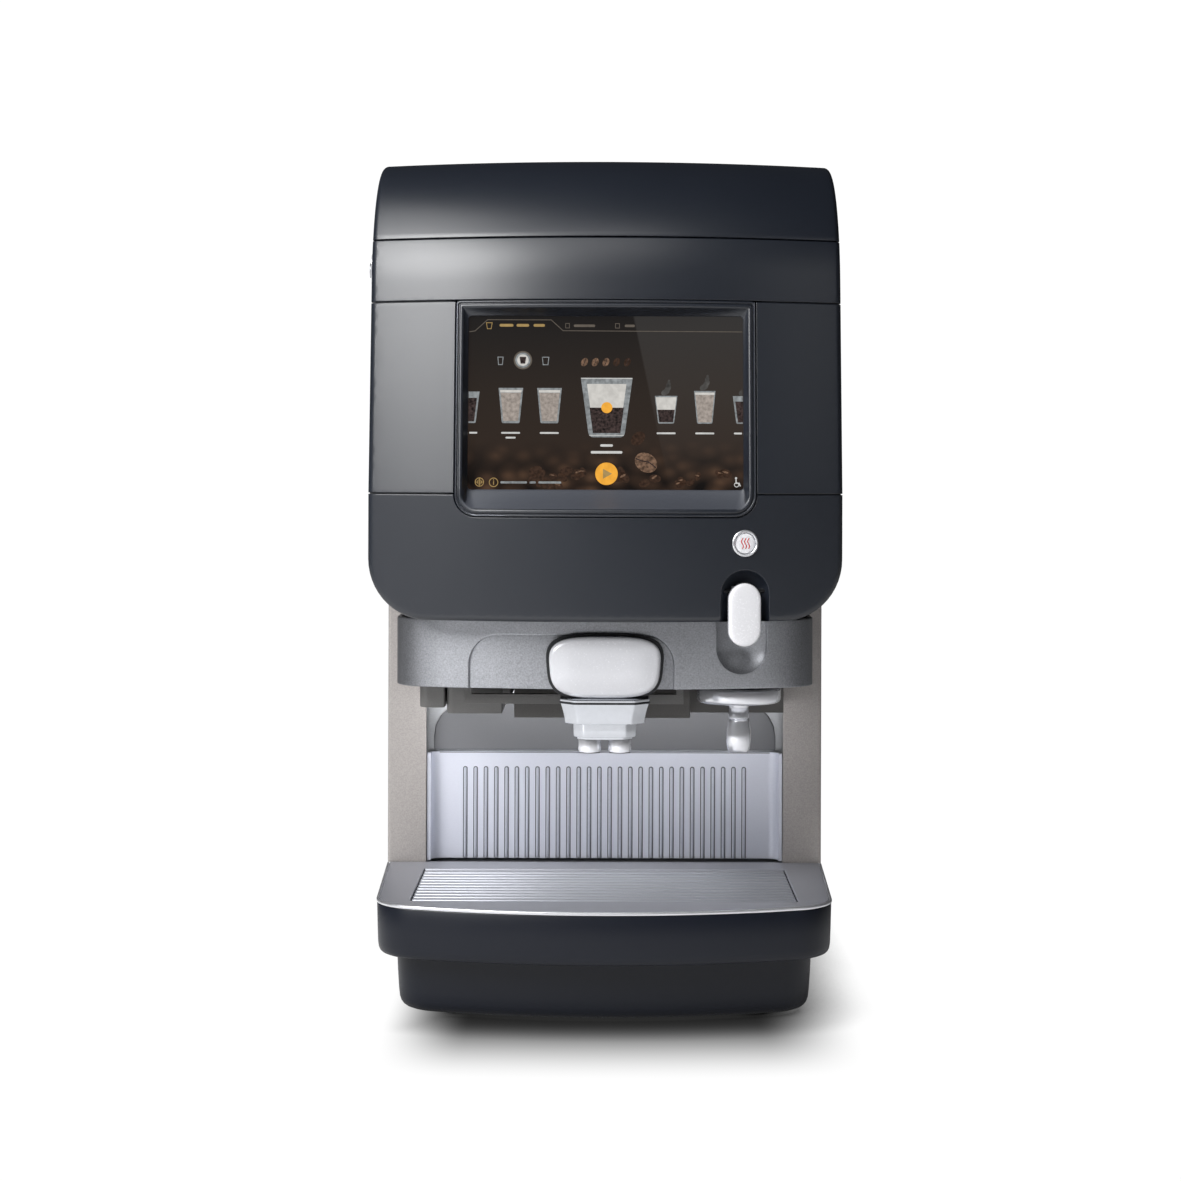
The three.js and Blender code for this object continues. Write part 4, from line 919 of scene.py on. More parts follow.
def mark_drinks():
    """The row of drinks, with the chosen one larger in the middle and one cut off at each end."""
    layers = {"latte": [], "milk": [], "coffee": []}
    glasses, labels, steam = [], [], []
    for x, top_width, low_width, height, drink in DRINKS:
        shape = (x, DRINK_BASE, top_width, low_width, height)
        glasses.append(cup(*shape))
        for layer, low, high, inset in FILLINGS[drink]:
            layers[layer].append(slice_of_cup(*shape, low, high, inset))
        if abs(x) < 100:
            labels.append(bar(x, LABEL_BASE, 15.0, 1.4))
            if x == TWO_LINE_LABEL:
                labels.append(bar(x, 41.0, 8.0, 1.4))
        else:
            labels.append(bar(math.copysign(SCREEN_HALF - 4.2, x), LABEL_BASE, 6.4, 1.4))
        if x > 0:
            top = DRINK_BASE + height + 0.6
            steam += [oval(x - 0.6, top + 2.4, 3.6, 2.3, 0.5, 20), oval(x + 1.4, top + 5.2, 3.2, 2.1, 0.9, 20),
                      oval(x + 1.9, top + 8.4, 2.4, 1.6, 1.2, 20), oval(x + 2.2, top + 10.8, 1.5, 1.0, 1.4, 20)]
    steam = [[(min(px, SCREEN_HALF - 0.6), py) for px, py in shape] for shape in steam]
    main = (0.8, 41.5, 41.0, 28.0, 47.0)
    glasses.append(cup(*main, corner=4.0))
    layers["milk"].append(slice_of_cup(*main, 0.50, 0.90, 4.2))
    layers["coffee"].append(slice_of_cup(*main, 0.07, 0.50, 3.6))
    screen_marks("ui_glasses", glasses, "ui_glass", 0.05)
    for layer, lift in (("latte", 0.15), ("coffee", 0.15), ("milk", 0.16)):
        screen_marks(f"ui_{layer}_fill", layers[layer], f"ui_{layer}", lift)
    screen_marks("ui_steam_wisps", steam, "ui_steam", 0.05)
    rim_lines = stroke([(-19.2, 88.3), (20.8, 88.3)], 0.7) + stroke([(-12.6, 43.0), (14.2, 43.0)], 0.5)
    screen_marks("ui_rim_lines", rim_lines, "ui_white", 0.2)
    screen_marks("ui_level_dot", [oval(0.9, 65.0, 4.4, 4.4)], "ui_orange", 0.3)
    screen_marks("ui_name_marks", [bar(0.8, 35.0, 10, 1.9), bar(0.8, 29.6, 25, 2.0)] + labels, "ui_white", 0.1)


def mark_beans():
    """Beans scattered along the bottom of the screen."""
    rng = random.Random(11)
    darks, lights = [], []
    for _ in range(26):
        x, up = rng.uniform(-62, 96), rng.uniform(3, 15)
        size = rng.uniform(3.2, 5.6)
        darks.append(oval(x, up, size, size * 0.66, rng.uniform(-1.2, 1.2), 20))
        if rng.random() < 0.35:
            lights.append(oval(x - 0.6, up + size * 0.22, size * 0.5, size * 0.16, rng.uniform(-0.6, 0.6), 14))
    screen_marks("ui_bean_pile", darks, "ui_bean_dark", 0.03, 0.05)
    screen_marks("ui_bean_glints", lights, "ui_bean", 0.12, 0.05)
    screen_marks("ui_big_bean", [oval(32.0, 21.5, 9.4, 7.4, -0.55)], "ui_bean", 0.14)
    crease = stroke([(24.2, 24.6), (28.6, 22.8), (33.0, 22.4), (36.6, 20.2), (39.6, 17.6)], 0.9)
    screen_marks("ui_big_bean_line", crease, "ui_coffee", 0.26)
    screen_marks("ui_far_bean", [oval(25.6, 40.6, 6.4, 4.6, 0.75)], "ui_bean_dark", 0.1)


def mark_signs():
    """Start button, language and information signs, and the access sign."""
    screen_marks("ui_start_disc", [oval(0.8, 12.6, 8.9, 8.9, 0, 48)], "ui_orange", 0.3)
    screen_marks("ui_start_mark", [[(-2.0, 8.6), (5.2, 12.6), (-2.0, 16.6)]], "ui_gold", 0.42)
    globe = ring_mark(-99.6, 5.8, 3.6, 3.0) + stroke([(-103, 5.8), (-96.2, 5.8)], 0.5)
    globe += stroke([(-99.6, 2.5), (-99.6, 9.1)], 0.5) + ring_mark(-99.6, 5.8, 1.9, 1.5)
    info = ring_mark(-88.4, 5.6, 3.7, 3.1) + stroke([(-88.4, 3.9), (-88.4, 6.2)], 0.6)
    info += [oval(-88.4, 7.5, 0.4, 0.4)]
    screen_marks("ui_gold_icons", globe + info, "ui_gold", 0.1)
    screen_marks("ui_info_marks", [bar(-72.5, 5.6, 21, 1.7), bar(-57.5, 5.6, 5, 1.7), bar(-44.0, 5.6, 18, 1.7)],
                 "ui_glass", 0.1)
    seat = stroke([(103.2, 8.0), (103.2, 5.4), (105.6, 5.4), (106.4, 3.4)], 0.9) + ring_mark(103.6, 4.2, 2.0, 1.4)
    screen_marks("ui_seat_icon", seat + [oval(103.2, 9.4, 0.9, 0.9)], "ui_white", 0.1)


# ------------------------------------------------------------------ hot-water button and lever


def on_door(x, depth, z):
    """From the controls' own frame, depth into the door, to the machine's frame."""
    c, s = math.cos(CONTROL_TILT), math.sin(CONTROL_TILT)
    return (CONTROL_X + x * c - depth * s, face_y(CONTROL_X, HEAD_BOTTOM) + x * s + depth * c, z)


def turned_on_door(profile, loop=False):
    """Turns a profile of (radius, depth) about the button's axis."""
    build = Build()
    build.loft([[on_door(radius * c, depth, BUTTON_Z + radius * s) for c, s in circle(56)]
                for radius, depth in profile], loop=loop)
    return build


def build_button():
    profile = [(8.5, 6.8), (9.2, 6.8), (9.2, -0.4), (10.5, -0.45), (10.6, -0.8), (10.3, -1.3), (9.8, -1.6),
               (9.2, -1.65), (8.8, -1.4), (8.5, -0.9)]
    turned_on_door(profile, loop=True).done("button_ring_bright", "door", "bright_trim", ("button_ring",))
    cap = turned_on_door([(4.0, 12.0), (4.0, 3.0), (8.0, 2.9), (8.1, 2.6), (8.1, -0.1), (7.9, -0.5), (7.4, -0.75),
                          (5.5, -0.95), (3.0, -1.1), (0.8, -1.15)])
    # The cap takes the lighter pearl: a painted highlight.
    cap.done("button_cap", "hot_water_button", "pearl_painted_highlight", ("hot_water_button",))
    waves = Build()
    for offset in (-2.5, 0.0, 2.5):
        steps = [k / 16 for k in range(17)]
        path = [(offset + 0.75 * math.sin(t * math.pi * 2.2), BUTTON_Z - 4.1 + 8.2 * t) for t in steps]
        shape = [(x - 0.42, z) for x, z in path] + [(x + 0.42, z) for x, z in path[::-1]]
        waves.loft([[on_door(x, depth, z) for x, z in shape] for depth in (-0.9, -1.17)])
    waves.done("button_heat_waves", "hot_water_button", "red_mark")


def build_lever():
    middle = (LEVER_LOW + LEVER_HIGH) / 2
    half_height = (LEVER_HIGH - LEVER_LOW) / 2

    def ring(depth, inset, count=20):
        w, h = 13.25 - inset, half_height - inset
        points = []
        for start, centre in ((0.0, middle + (h - w)), (math.pi, middle - (h - w))):
            angles = [start + math.pi * k / count for k in range(count + 1)]
            points += [on_door(w * math.cos(a), depth, centre + w * math.sin(a)) for a in angles]
        return points

    pad = Build()
    sections = [(4.2, 2.0), (3.4, 0.9), (2.4, 0.3), (0.6, 0.25), (-0.4, 0.3)]
    sections += [(-0.4 - 2.1 * across, 0.3 + 2.1 * down) for across, down in arc(15, 30, 45, 60, 75)]
    sections += [(-2.62, 3.4), (-2.75, 5.2), (-2.84, 7.6), (-2.88, 10.5), (-2.9, 12.6)]
    pad.loft([ring(depth, inset) for depth, inset in sections])
    # The pad takes the lighter pearl: a painted highlight.
    pad.done("lever_pad", "hot_water_lever", "pearl_painted_highlight", ("hot_water_lever",))
    rim = Build()
    rim.loft([ring(2.6, 0.0), ring(1.4, -0.12), ring(0.2, 0.0), ring(0.2, 0.6), ring(2.6, 0.6)], loop=True)
    rim.done("lever_pad_rim", "hot_water_lever", "chrome")
    boss = Build()
    low, high = LEVER_HIGH - 11.6, LEVER_HIGH - 2.6
    shape = outline_points([(3.6, low, 1), (10.3, low, 2.5), (10.3, high, 2.5), (3.6, high, 1)], turn=20.0)
    boss.loft([[on_door(x, d, z) for d, z in shape] for x in (-9.0, -8.6, 8.6, 9.0)])
    boss.done("lever_boss", "hot_water_lever", "grey_plastic")


def hollow(name, body, finish, place, half, end_z, open_z, depth, power, sign):
    """A scooped recess: U-shaped outline, open at open_z and rounded at end_z, deepening to its middle.

    place(x, depth, z) puts a point; sign is +1 where the rounded end is up and -1 where it is down.
    """
    steps, count = 14, 30
    centre_z = end_z - sign * half

    def u_shape(w):
        angles = [math.pi * j / count for j in range(count + 1)]
        bend = [(-w * math.cos(a), centre_z + sign * w * math.sin(a)) for a in angles]
        return [(-w, open_z)] + bend + [(w, open_z)]

    rings = [[place(x * 1.06, depth + 1.5, z) for x, z in u_shape(half)]]
    for k in range(steps + 1):
        share = k / steps
        inset = half * (1 - (1 - share) ** 1.4) * 0.999
        sink = depth * math.sin(math.pi / 2 * min(1.0, share * 1.05)) ** power
        rings.append([place(x, sink, z) for x, z in u_shape(half - inset)])
    build = Build()
    build.loft(rings)
    build.done(name, body, finish)


def build_lever_recess():
    def place(x, depth, z):
        px = CONTROL_X + x
        return (px, face_y(px, z) + 0.7 + depth, z)

    hollow("lever_recess_liner", "door", "midnight_paint", place, RECESS_HALF + 0.05, RECESS_TOP + 0.05,
           HEAD_BOTTOM + 0.4, 12.8, 0.55, 1)


# ------------------------------------------------------------------ apron


APRON_LOW, APRON_HIGH = BOX["apron"][0][2], BOX["apron"][1][2]
APRON_HALF, APRON_BACK = BOX["apron"][1][0], BOX["apron"][1][1]
APRON_FRONT = BOX["apron"][0][1]


def apron_front(x):
    return APRON_FRONT + FACE_BOW * (x / HALF) ** 2


def apron_plan():
    front = [(x, apron_front(x), 0) for x in range(-132, 133, 6)]
    corners = [(-APRON_HALF, APRON_BACK, 0), (-APRON_HALF, apron_front(APRON_HALF), 35.0)] + front
    corners += [(APRON_HALF, apron_front(APRON_HALF), 35.0), (APRON_HALF, APRON_BACK, 0)]
    return outline_points(corners, pitch=6.0, turn=5.0, closed=False)


APRON_LINE = apron_plan()
APRON_LENGTHS = np.concatenate([[0], np.cumsum(np.linalg.norm(np.diff(APRON_LINE, axis=0), axis=1))])
APRON_TANGENTS = np.gradient(APRON_LINE, axis=0)
APRON_TANGENTS /= np.linalg.norm(APRON_TANGENTS, axis=1)[:, None]


def apron_surface(u, z, depth):
    x, y = (np.interp(u, APRON_LENGTHS, APRON_LINE[:, k]) for k in range(2))
    tx, ty = (np.interp(u, APRON_LENGTHS, APRON_TANGENTS[:, k]) for k in range(2))
    return (float(x - ty * depth), float(y + tx * depth), z)


def apron_u(x):
    middle = (APRON_LINE[:, 1] < apron_front(APRON_HALF) - 2)
    return float(np.interp(x, APRON_LINE[middle, 0], APRON_LENGTHS[middle]))


TRAVEL_LEFT, TRAVEL_RIGHT, TRAVEL_TOP, TRAVEL_CORNER = -109.0, 55.0, 304.0, 24.0
SCOOP_HALF, SCOOP_LOW = 20.0, 273.4


def build_apron():
    end = float(APRON_LENGTHS[-1])
    left, right = apron_u(TRAVEL_LEFT), apron_u(TRAVEL_RIGHT)
    scoop_left, scoop_right = apron_u(CONTROL_X - SCOOP_HALF), apron_u(CONTROL_X + SCOOP_HALF)
    radius = (scoop_right - scoop_left) / 2 - 0.2

    def corners(_wall, seam):
        low, high = APRON_LOW + seam, APRON_HIGH - seam
        return [
            (seam, low, 0), (left - seam, low, 0), (left - seam, TRAVEL_TOP + seam, TRAVEL_CORNER + seam),
            (right + seam, TRAVEL_TOP + seam, TRAVEL_CORNER + seam), (right + seam, low, 0), (end - seam, low, 0),
            (end - seam, high, 0), (scoop_right + seam, high, 0), (scoop_right + seam, SCOOP_LOW - seam, radius + seam),
            (scoop_left - seam, SCOOP_LOW - seam, radius + seam), (scoop_left - seam, high, 0), (seam, high, 0)]

    panel("apron_skin", "cabinet", "pewter_paint", apron_surface, corners, ["seam"] * 12, replaces=("apron",),
          pitch=5.0, seam=1.1, skin=3.4)

    def floor_corners(_wall, seam):
        grow = 0.5 - seam
        low = APRON_LOW + 0.2 + seam
        top, corner = TRAVEL_TOP + grow, TRAVEL_CORNER + grow
        return [(left - grow, low, 0), (right + grow, low, 0), (right + grow, top, corner), (left - grow, top, corner)]

    def floor_surface(u, z, depth):
        return apron_surface(u, z, depth + 2.4)

    panel("apron_travel_floor", "cabinet", "pewter_paint", floor_surface, floor_corners, ["seam"] * 4, pitch=5.0,
          seam=0.3, skin=1.5)

    def place(x, depth, z):
        px = CONTROL_X + x
        return (px, apron_front(px) + 0.9 + depth, z)

    hollow("apron_scoop", "cabinet", "pewter_paint", place, SCOOP_HALF + 0.3, SCOOP_LOW - 0.3, APRON_HIGH - 0.3,
           9.0, 0.7, -1)


# ------------------------------------------------------------------ coffee outlet


PAD_TAPER = 0.045
PAD_SQUARENESS = 3.4


def pad_ring(half_x, half_z, centre_z, y):
    """A rounded rectangle, a superellipse, a little wider at the top than at the bottom."""
    points = []
    for c, s in circle(96):
        x = half_x * math.copysign(abs(c) ** (2 / PAD_SQUARENESS), c)
        z = half_z * math.copysign(abs(s) ** (2 / PAD_SQUARENESS), s)
        points.append((x * (1 + PAD_TAPER * z / 24.0), y, centre_z + z))
    return points


def lathe(profile, x, y, segments, loop=False):
    """Turns a profile of (radius, height) about an upright axis."""
    build = Build()
    build.loft([[(x + r * c, y + r * s, z) for c, s in circle(segments)] for r, z in profile], loop=loop)
    return build


def build_outlet():
    low, high = BOX["outlet_pad"]
    middle, half_z, half_x = (low[2] + high[2]) / 2, (high[2] - low[2]) / 2, high[0] / 1.045
    front, back = low[1], high[1]
    sections = [(back, 1.4), (back - 0.8, 0.4), (back - 2.0, 0.0), (front + 7.4, 0.0)]
    sections += [(front + 7.4 - 4.4 * across, 5.0 * down) for across, down in arc(12, 24, 36, 48, 60, 72, 84)]
    shares = [k / 8 for k in range(1, 9)]
    sections += [(front + 3.0 * (1 - share) ** 2, 4.6 + (half_z - 5.4) * share) for share in shares]
    pad = Build()
    pad.loft([pad_ring(half_x - inset, half_z - inset, middle, y) for y, inset in sections])
    pad.done("outlet_pad_dome", "coffee_outlet", "pearl_plastic", ("outlet_pad",))
    # A black ring round the back of the pad: painted shadow of the gap behind it.
    shadow_ring = Build()
    shadow_ring.loft([pad_ring(half_x + grow, half_z + grow, middle, y) for y, grow in
              ((back + 1.4, 1.0), (back + 1.2, 2.2), (back - 1.6, 2.5), (back - 2.4, 2.2), (back - 2.6, 0.4))])
    shadow_ring.done("outlet_pad_painted_shadow", "coffee_outlet", "black_plastic")

    box = BOX["outlet_spout"]
    spout_y = -225.0

    def tier_corners(half_w, half_d):
        """A block whose front corners are cut off at a slant."""
        flat, slant = half_w * 0.68, spout_y - half_d * 0.40
        return [(-flat, spout_y - half_d, 2.4), (flat, spout_y - half_d, 2.4), (half_w, slant, 2.4),
                (half_w, spout_y + half_d, 2.4), (-half_w, spout_y + half_d, 2.4), (-half_w, slant, 2.4)]

    _, tier_counts, _ = outline(tier_corners(30, 16), pitch=4.0, turn=8.0)

    def tiers(*levels):
        """A block lofted through levels of height, half width and half depth."""
        build = Build()
        build.loft([at_height(outline_points(tier_corners(half_w, half_d), tier_counts), z)
                    for z, half_w, half_d in levels])
        return build

    upper = tiers((235.4, 29.6, 15.4), (235.0, 30.6, 16.2), (235.3, 31.4, 16.9), (236.4, 31.7, 17.1),
                  (239, 32.0, 17.4), (243, 32.8, 17.9), (247, 33.9, 18.6), (250.5, 35.0, 19.4),
                  (253.2, 35.7, 19.9), (254.6, 35.6, 19.8), (255.0, 34.8, 19.2))
    upper.done("spout_upper_tier", "coffee_outlet", "soft_chrome", ("outlet_spout",), sharp=40)
    lower = tiers((222.2, 21.0, 10.2), (222.4, 21.9, 11.0), (223.9, 22.0, 11.1), (224.0, 23.6, 12.3),
                  (224.3, 24.4, 13.0), (225.6, 24.8, 13.4), (230, 25.0, 13.5), (236.5, 25.2, 13.6))
    lower.done("spout_lower_tier", "coffee_outlet", "soft_chrome", sharp=40)
    # A thin black band round the upper tier just under its top: painted shadow.
    collar = tiers((250.8, 35.3, 19.6), (251.4, 35.9, 19.95), (252.2, 35.9, 19.95), (252.8, 35.5, 19.7))
    collar.done("spout_shadow_band", "coffee_outlet", "black_plastic")
    for side, name in ((-1, "left"), (1, "right")):
        profile = [(6.2, 223.0), (8.9, 223.0), (9.1, 222.4), (9.1, 214.0), (8.9, 212.4), (8.5, 211.6), (6.6, 211.6),
                   (6.2, 212.2)]
        dark = [(5.9, 213.0), (6.6, 211.5), (8.3, 211.3), (8.4, box[0][2] + 0.05), (5.9, box[0][2] + 0.05)]
        for part, shape, finish in (("nozzle", profile, "chrome"), ("tip", dark, "black_plastic")):
            lathe(shape, side * 12.0, spout_y, 48, loop=True).done(f"spout_{name}_{part}", "coffee_outlet", finish)
    # Slide block behind the spout that runs along the rail.
    block_low, block_high = 241.2, 257.8
    rail = BOX["outlet_rail"]
    back_y = box[1][1]
    hole_low, hole_high = rail[0][1] - 0.5, rail[1][1] + 0.5
    carriage = Build()
    outer, counts, _ = outline(rounded_box(-209.0, back_y, block_low, block_high, 1.0), turn=15.0, pitch=6.0)
    inner = outline_points(rounded_box(hole_low, hole_high, 245.6, 254.4, 0.4), counts)
    rings = [[(x, y, z) for y, z in shape] for x, shape in
             ((-18.0, inner), (-18.0, outer), (18.0, outer), (18.0, inner))]
    carriage.loft(rings, loop=True)
    carriage.done("spout_carriage", "coffee_outlet", "grey_plastic")


def build_mixer_covers():
    """Two covers side by side under the head, the larger one with a notch at its lower right."""
    low, high = BOX["mixer_cover"]
    covers = Build()
    for x0, x1, front, bottom, corner in (
            (low[0] + 1.0, -131.5, low[1] + 4.0, 240.0, 7.0), (-130.0, -84.0, low[1] + 1.0, low[2] + 3.0, 6.0),
            (-86.0, high[0] - 2.0, low[1] + 2.0, 248.0, 1.5)):

        def corners(inset):
            return [(x0 + inset, front + inset, corner - inset * 0.5), (x1 - inset, front + inset, 1.5 - inset * 0.5),
                    (x1 - inset, high[1], 0.5), (x0 + inset, high[1], 0.5)]

        _, counts, _ = outline(corners(0), pitch=8.0, turn=9.0)
        covers.loft([at_height(outline_points(corners(inset), counts), z) for z, inset in (
            (bottom, 1.2), (bottom + 0.35, 0.35), (bottom + 1.2, 0.0), (high[2] - 0.2, 0.0))])
    covers.done("mixer_cover_pair", "cabinet", "cover_grey", ("mixer_cover",), sharp=40)


def build_hot_water_outlet():
    low, high = BOX["hot_water_collar"]
    cx, cy = (low[0] + high[0]) / 2, (low[1] + high[1]) / 2
    tip = BOX["hot_water_nozzle"][0][2]
    disc = [(10.5, 245.9), (30.0, 245.6), (32.2, 245.8), (33.6, 246.7), (34.3, 248.2), (34.5, 250.0), (34.5, 255.6),
            (34.2, 257.2), (33.2, 258.6), (31.8, 259.0), (12.0, 259.0), (12.0, high[2])]
    lathe(disc, cx, cy, 96).done("hot_water_disc", "cabinet", "chrome", ("hot_water_collar",), sharp=40)
    nozzle = [(5.6, tip + 0.6), (6.2, tip + 0.1), (7.6, tip + 0.5), (8.6, tip + 1.6), (9.3, tip + 4.0), (9.9, 211.0),
              (10.3, 215.0), (10.3, 219.0), (9.9, 223.0), (9.3, 227.0), (9.0, 230.2), (8.7, 231.3), (8.1, 231.8),
              (7.8, 232.2), (8.1, 232.6), (8.5, 233.0), (8.5, 240.6), (8.2, 241.0), (8.2, 241.8), (8.5, 242.2),
              (8.5, 245.4)]
    lathe(nozzle, cx, cy, 64).done("hot_water_tube", "cabinet", "chrome", ("hot_water_nozzle",), sharp=40)


# ------------------------------------------------------------------ back of the cup bay


def build_splash_plate():
    low, high = BOX["splash_plate"]
    half, z0, z1 = high[0], low[2], high[2]
    front_y, back_y, wing_y = -40.0, high[1], low[1]
    outer = [(-half, wing_y, 0), (-half, back_y, 12.0), (half, back_y, 12.0), (half, wing_y, 0),
             (half - 3, wing_y, 0), (half - 3, front_y, 9.0), (3 - half, front_y, 9.0), (3 - half, wing_y, 0)]
    points = outline_points(outer, pitch=9.0, turn=8.0)
    build = Build()
    build.loft([at_height(points, z) for z in (z0, z0 + 0.4, z1 - 0.4, z1)])
    build.done("splash_sheet", "cabinet", "silver_steel", ("splash_plate",))
    # Each bead sits on a wider dark strip: painted shade along its flanks.
    beads, painted_shade_strips = Build(), Build()
    pitch, count, top = 9.06, 28, 174.3
    for bead in range(count):
        x0 = (bead - (count - 1) / 2) * pitch
        for build, half_width, proud, power, end in (
                (beads, 1.25, 1.15, 0.45, top), (painted_shade_strips, 2.05, 0.22, 0.3, top + 0.8)):
            rings = []
            heights = [(z0 + 0.3, 1.0), (end - half_width, 1.0)]
            heights += [(end - half_width + half_width * math.sin(math.radians(a)), math.cos(math.radians(a)))
                        for a in (15, 30, 45, 60, 75, 87)]
            for z, scale in heights:
                ring = []
                for k in range(15):
                    a = math.pi * k / 14
                    height = proud * math.sin(a) ** power * min(1.0, scale + 0.35)
                    ring.append((x0 + half_width * scale * math.cos(a), front_y + 0.1 - height, z))
                rings.append(ring)
            build.loft(rings)
    beads.done("splash_beads", "cabinet", "bead_steel", sharp=60)
    painted_shade_strips.done("splash_bead_grooves", "cabinet", "bead_flank_painted_shade", sharp=60)
    fold = Build()
    strip = outline_points(rounded_box(-half + 3.2, half - 3.2, front_y - 0.25, front_y + 0.2, 0), pitch=1000)
    fold.loft([at_height(strip, z) for z in (z1 - 1.2, z1 - 0.2)])
    fold.done("splash_top_fold", "cabinet", "bar_silver")


# ------------------------------------------------------------------ drip tray


TRAY_FRONT = BOX["tray_top_plate"][0][1]
TRAY_BACK = BOX["tray_tub"][1][1]
# Half the width of the plate's tongue that runs back between the side panels.
TRAY_TONGUE = 154.4


def tray_front(x, inset):
    return TRAY_FRONT + inset + FACE_BOW * (x / HALF) ** 2


def tray_corners(inset, back=TRAY_BACK, tongue=False):
    side, corner = HALF - inset, 181.0 - inset
    corners = [(x, tray_front(x, inset), 0) for x in range(-126, 127, 7)]
    ends = [(corner, tray_front(corner, inset), 42.0 - inset), (side, back, 0)]
    if tongue:
        tongue_x = TRAY_TONGUE - inset
        ends += [(tongue_x, back, 0), (tongue_x, BOX["tray_top_plate"][1][1] - inset, 0)]
    return [(-x, y, radius) for x, y, radius in ends[::-1]] + corners + ends


def build_tray():
    low, high = BOX["tray_tub"][0][2], BOX["tray_tub"][1][2]
    _, counts, _ = outline(tray_corners(0.5), pitch=7.0, turn=5.0)

    def ring(z, inset, back=TRAY_BACK):
        return at_height(outline_points(tray_corners(inset, back), counts), z)

    tub = Build()
    rings = [ring(low, 7.4), ring(low + 0.2, 5.6), ring(low + 0.9, 4.0), ring(low + 2.0, 2.9), ring(low + 4.0, 2.0),
             ring(low + 8.0, 1.4), ring(low + 20, 1.0), ring(high - 0.6, 0.55), ring(high, 0.9),
             ring(high, 3.6, TRAY_BACK - 3), ring(low + 9, 4.6, TRAY_BACK - 3), ring(low + 4.0, 7.0, TRAY_BACK - 3),
             ring(low + 3.0, 12.0, TRAY_BACK - 5)]
    tub.loft(rings)
    tub.done("tray_tub_shell", "drip_tray", "tray_paint", ("tray_tub",))
    posts = Build()
    for x, y in ((-149, -229), (149, -229), (-149, -97), (149, -97)):
        shape = outline_points(rounded_box(x - 5, x + 5, y - 5, y + 5, 1), turn=30)
        posts.loft([at_height(shape, z) for z in (low + 3.0, 89.6, 90.0)])
    posts.done("tray_grid_posts", "drip_tray", "black_plastic")

    grid_low, grid_high = BOX["drip_grid"]
    top = BOX["tray_top_plate"][1][2]

    def plate_corners(_wall, seam):
        return tray_corners(2.35 + seam, tongue=True)

    def hole_corners(_wall, seam):
        x, y0, y1 = grid_high[0] + 0.5 + seam, grid_low[1] - 0.5 - seam, grid_high[1] + 0.5 + seam
        return [(-x, y0, 5), (x, y0, 5), (x, y1, 2), (-x, y1, 2)]

    def flat(u, v, depth):
        return (u, v, top - depth)

    panel("tray_top_skin", "drip_tray", "tray_silver", flat, plate_corners, ["seam"] * len(plate_corners(0, 0)),
          holes=[hole_corners], replaces=("tray_top_plate",), pitch=9.0, seam=0.5, skin=2.4, line_pitch=6.0)

    trim = Build()
    section = [(0.9, top - 2.6), (0.25, top - 2.5), (0.0, top - 2.1), (0.0, top - 0.9), (0.35, top - 0.25), (1.1, top),
               (1.9, top), (2.2, top - 0.4), (2.2, top - 2.6)]
    _, trim_counts, _ = outline(tray_corners(0.5), pitch=7.0, turn=4.0)
    trim.loft([at_height(outline_points(tray_corners(inset, TRAY_BACK - inset), trim_counts), z)
               for inset, z in section], loop=True)
    trim.done("tray_edge_trim", "drip_tray", "bright_trim", sharp=45)

    # Cup grid: rounded bars from side to side on cross strips.
    bars = Build()
    slots = 12
    pitch = (grid_high[1] - grid_low[1] + 1.0) / slots
    end_x = grid_high[0] - 0.3
    for k in range(slots + 1):
        y = grid_low[1] - 0.5 + pitch * k
        half = 2.9
        y0, y1 = max(y - half, grid_low[1]), min(y + half, grid_high[1])
        middle, half = (y0 + y1) / 2, (y1 - y0) / 2
        rings = []
        for x, scale in ((-end_x, 0.55), (-end_x + 0.5, 0.85), (-end_x + 1.3, 1.0), (0, 1.0), (end_x - 1.3, 1.0),
                         (end_x - 0.5, 0.85), (end_x, 0.55)):
            width = half * scale
            crown = [(x, middle - width * math.cos(a), top - 2.2 + 2.2 * scale * math.sin(a) ** 0.7)
                     for a in (math.pi * j / 8 for j in range(9))]
            rings.append(crown + [(x, middle + width, grid_low[2] + 0.4), (x, middle - width, grid_low[2] + 0.4)])
        bars.loft(rings)
    bars.done("grid_bars", "drip_grid", "bar_silver", ("drip_grid",), sharp=50)
    strips = Build()
    for x in (-144.0, -72.0, 0.0, 72.0, 144.0):
        shape = outline_points(rounded_box(x - 2, x + 2, grid_low[1], grid_high[1], 0.3), turn=30)
        strips.loft([at_height(shape, z) for z in (grid_low[2] + 0.1, grid_low[2] + 1.2)])
    strips.done("grid_cross_strips", "drip_grid", "bar_silver")


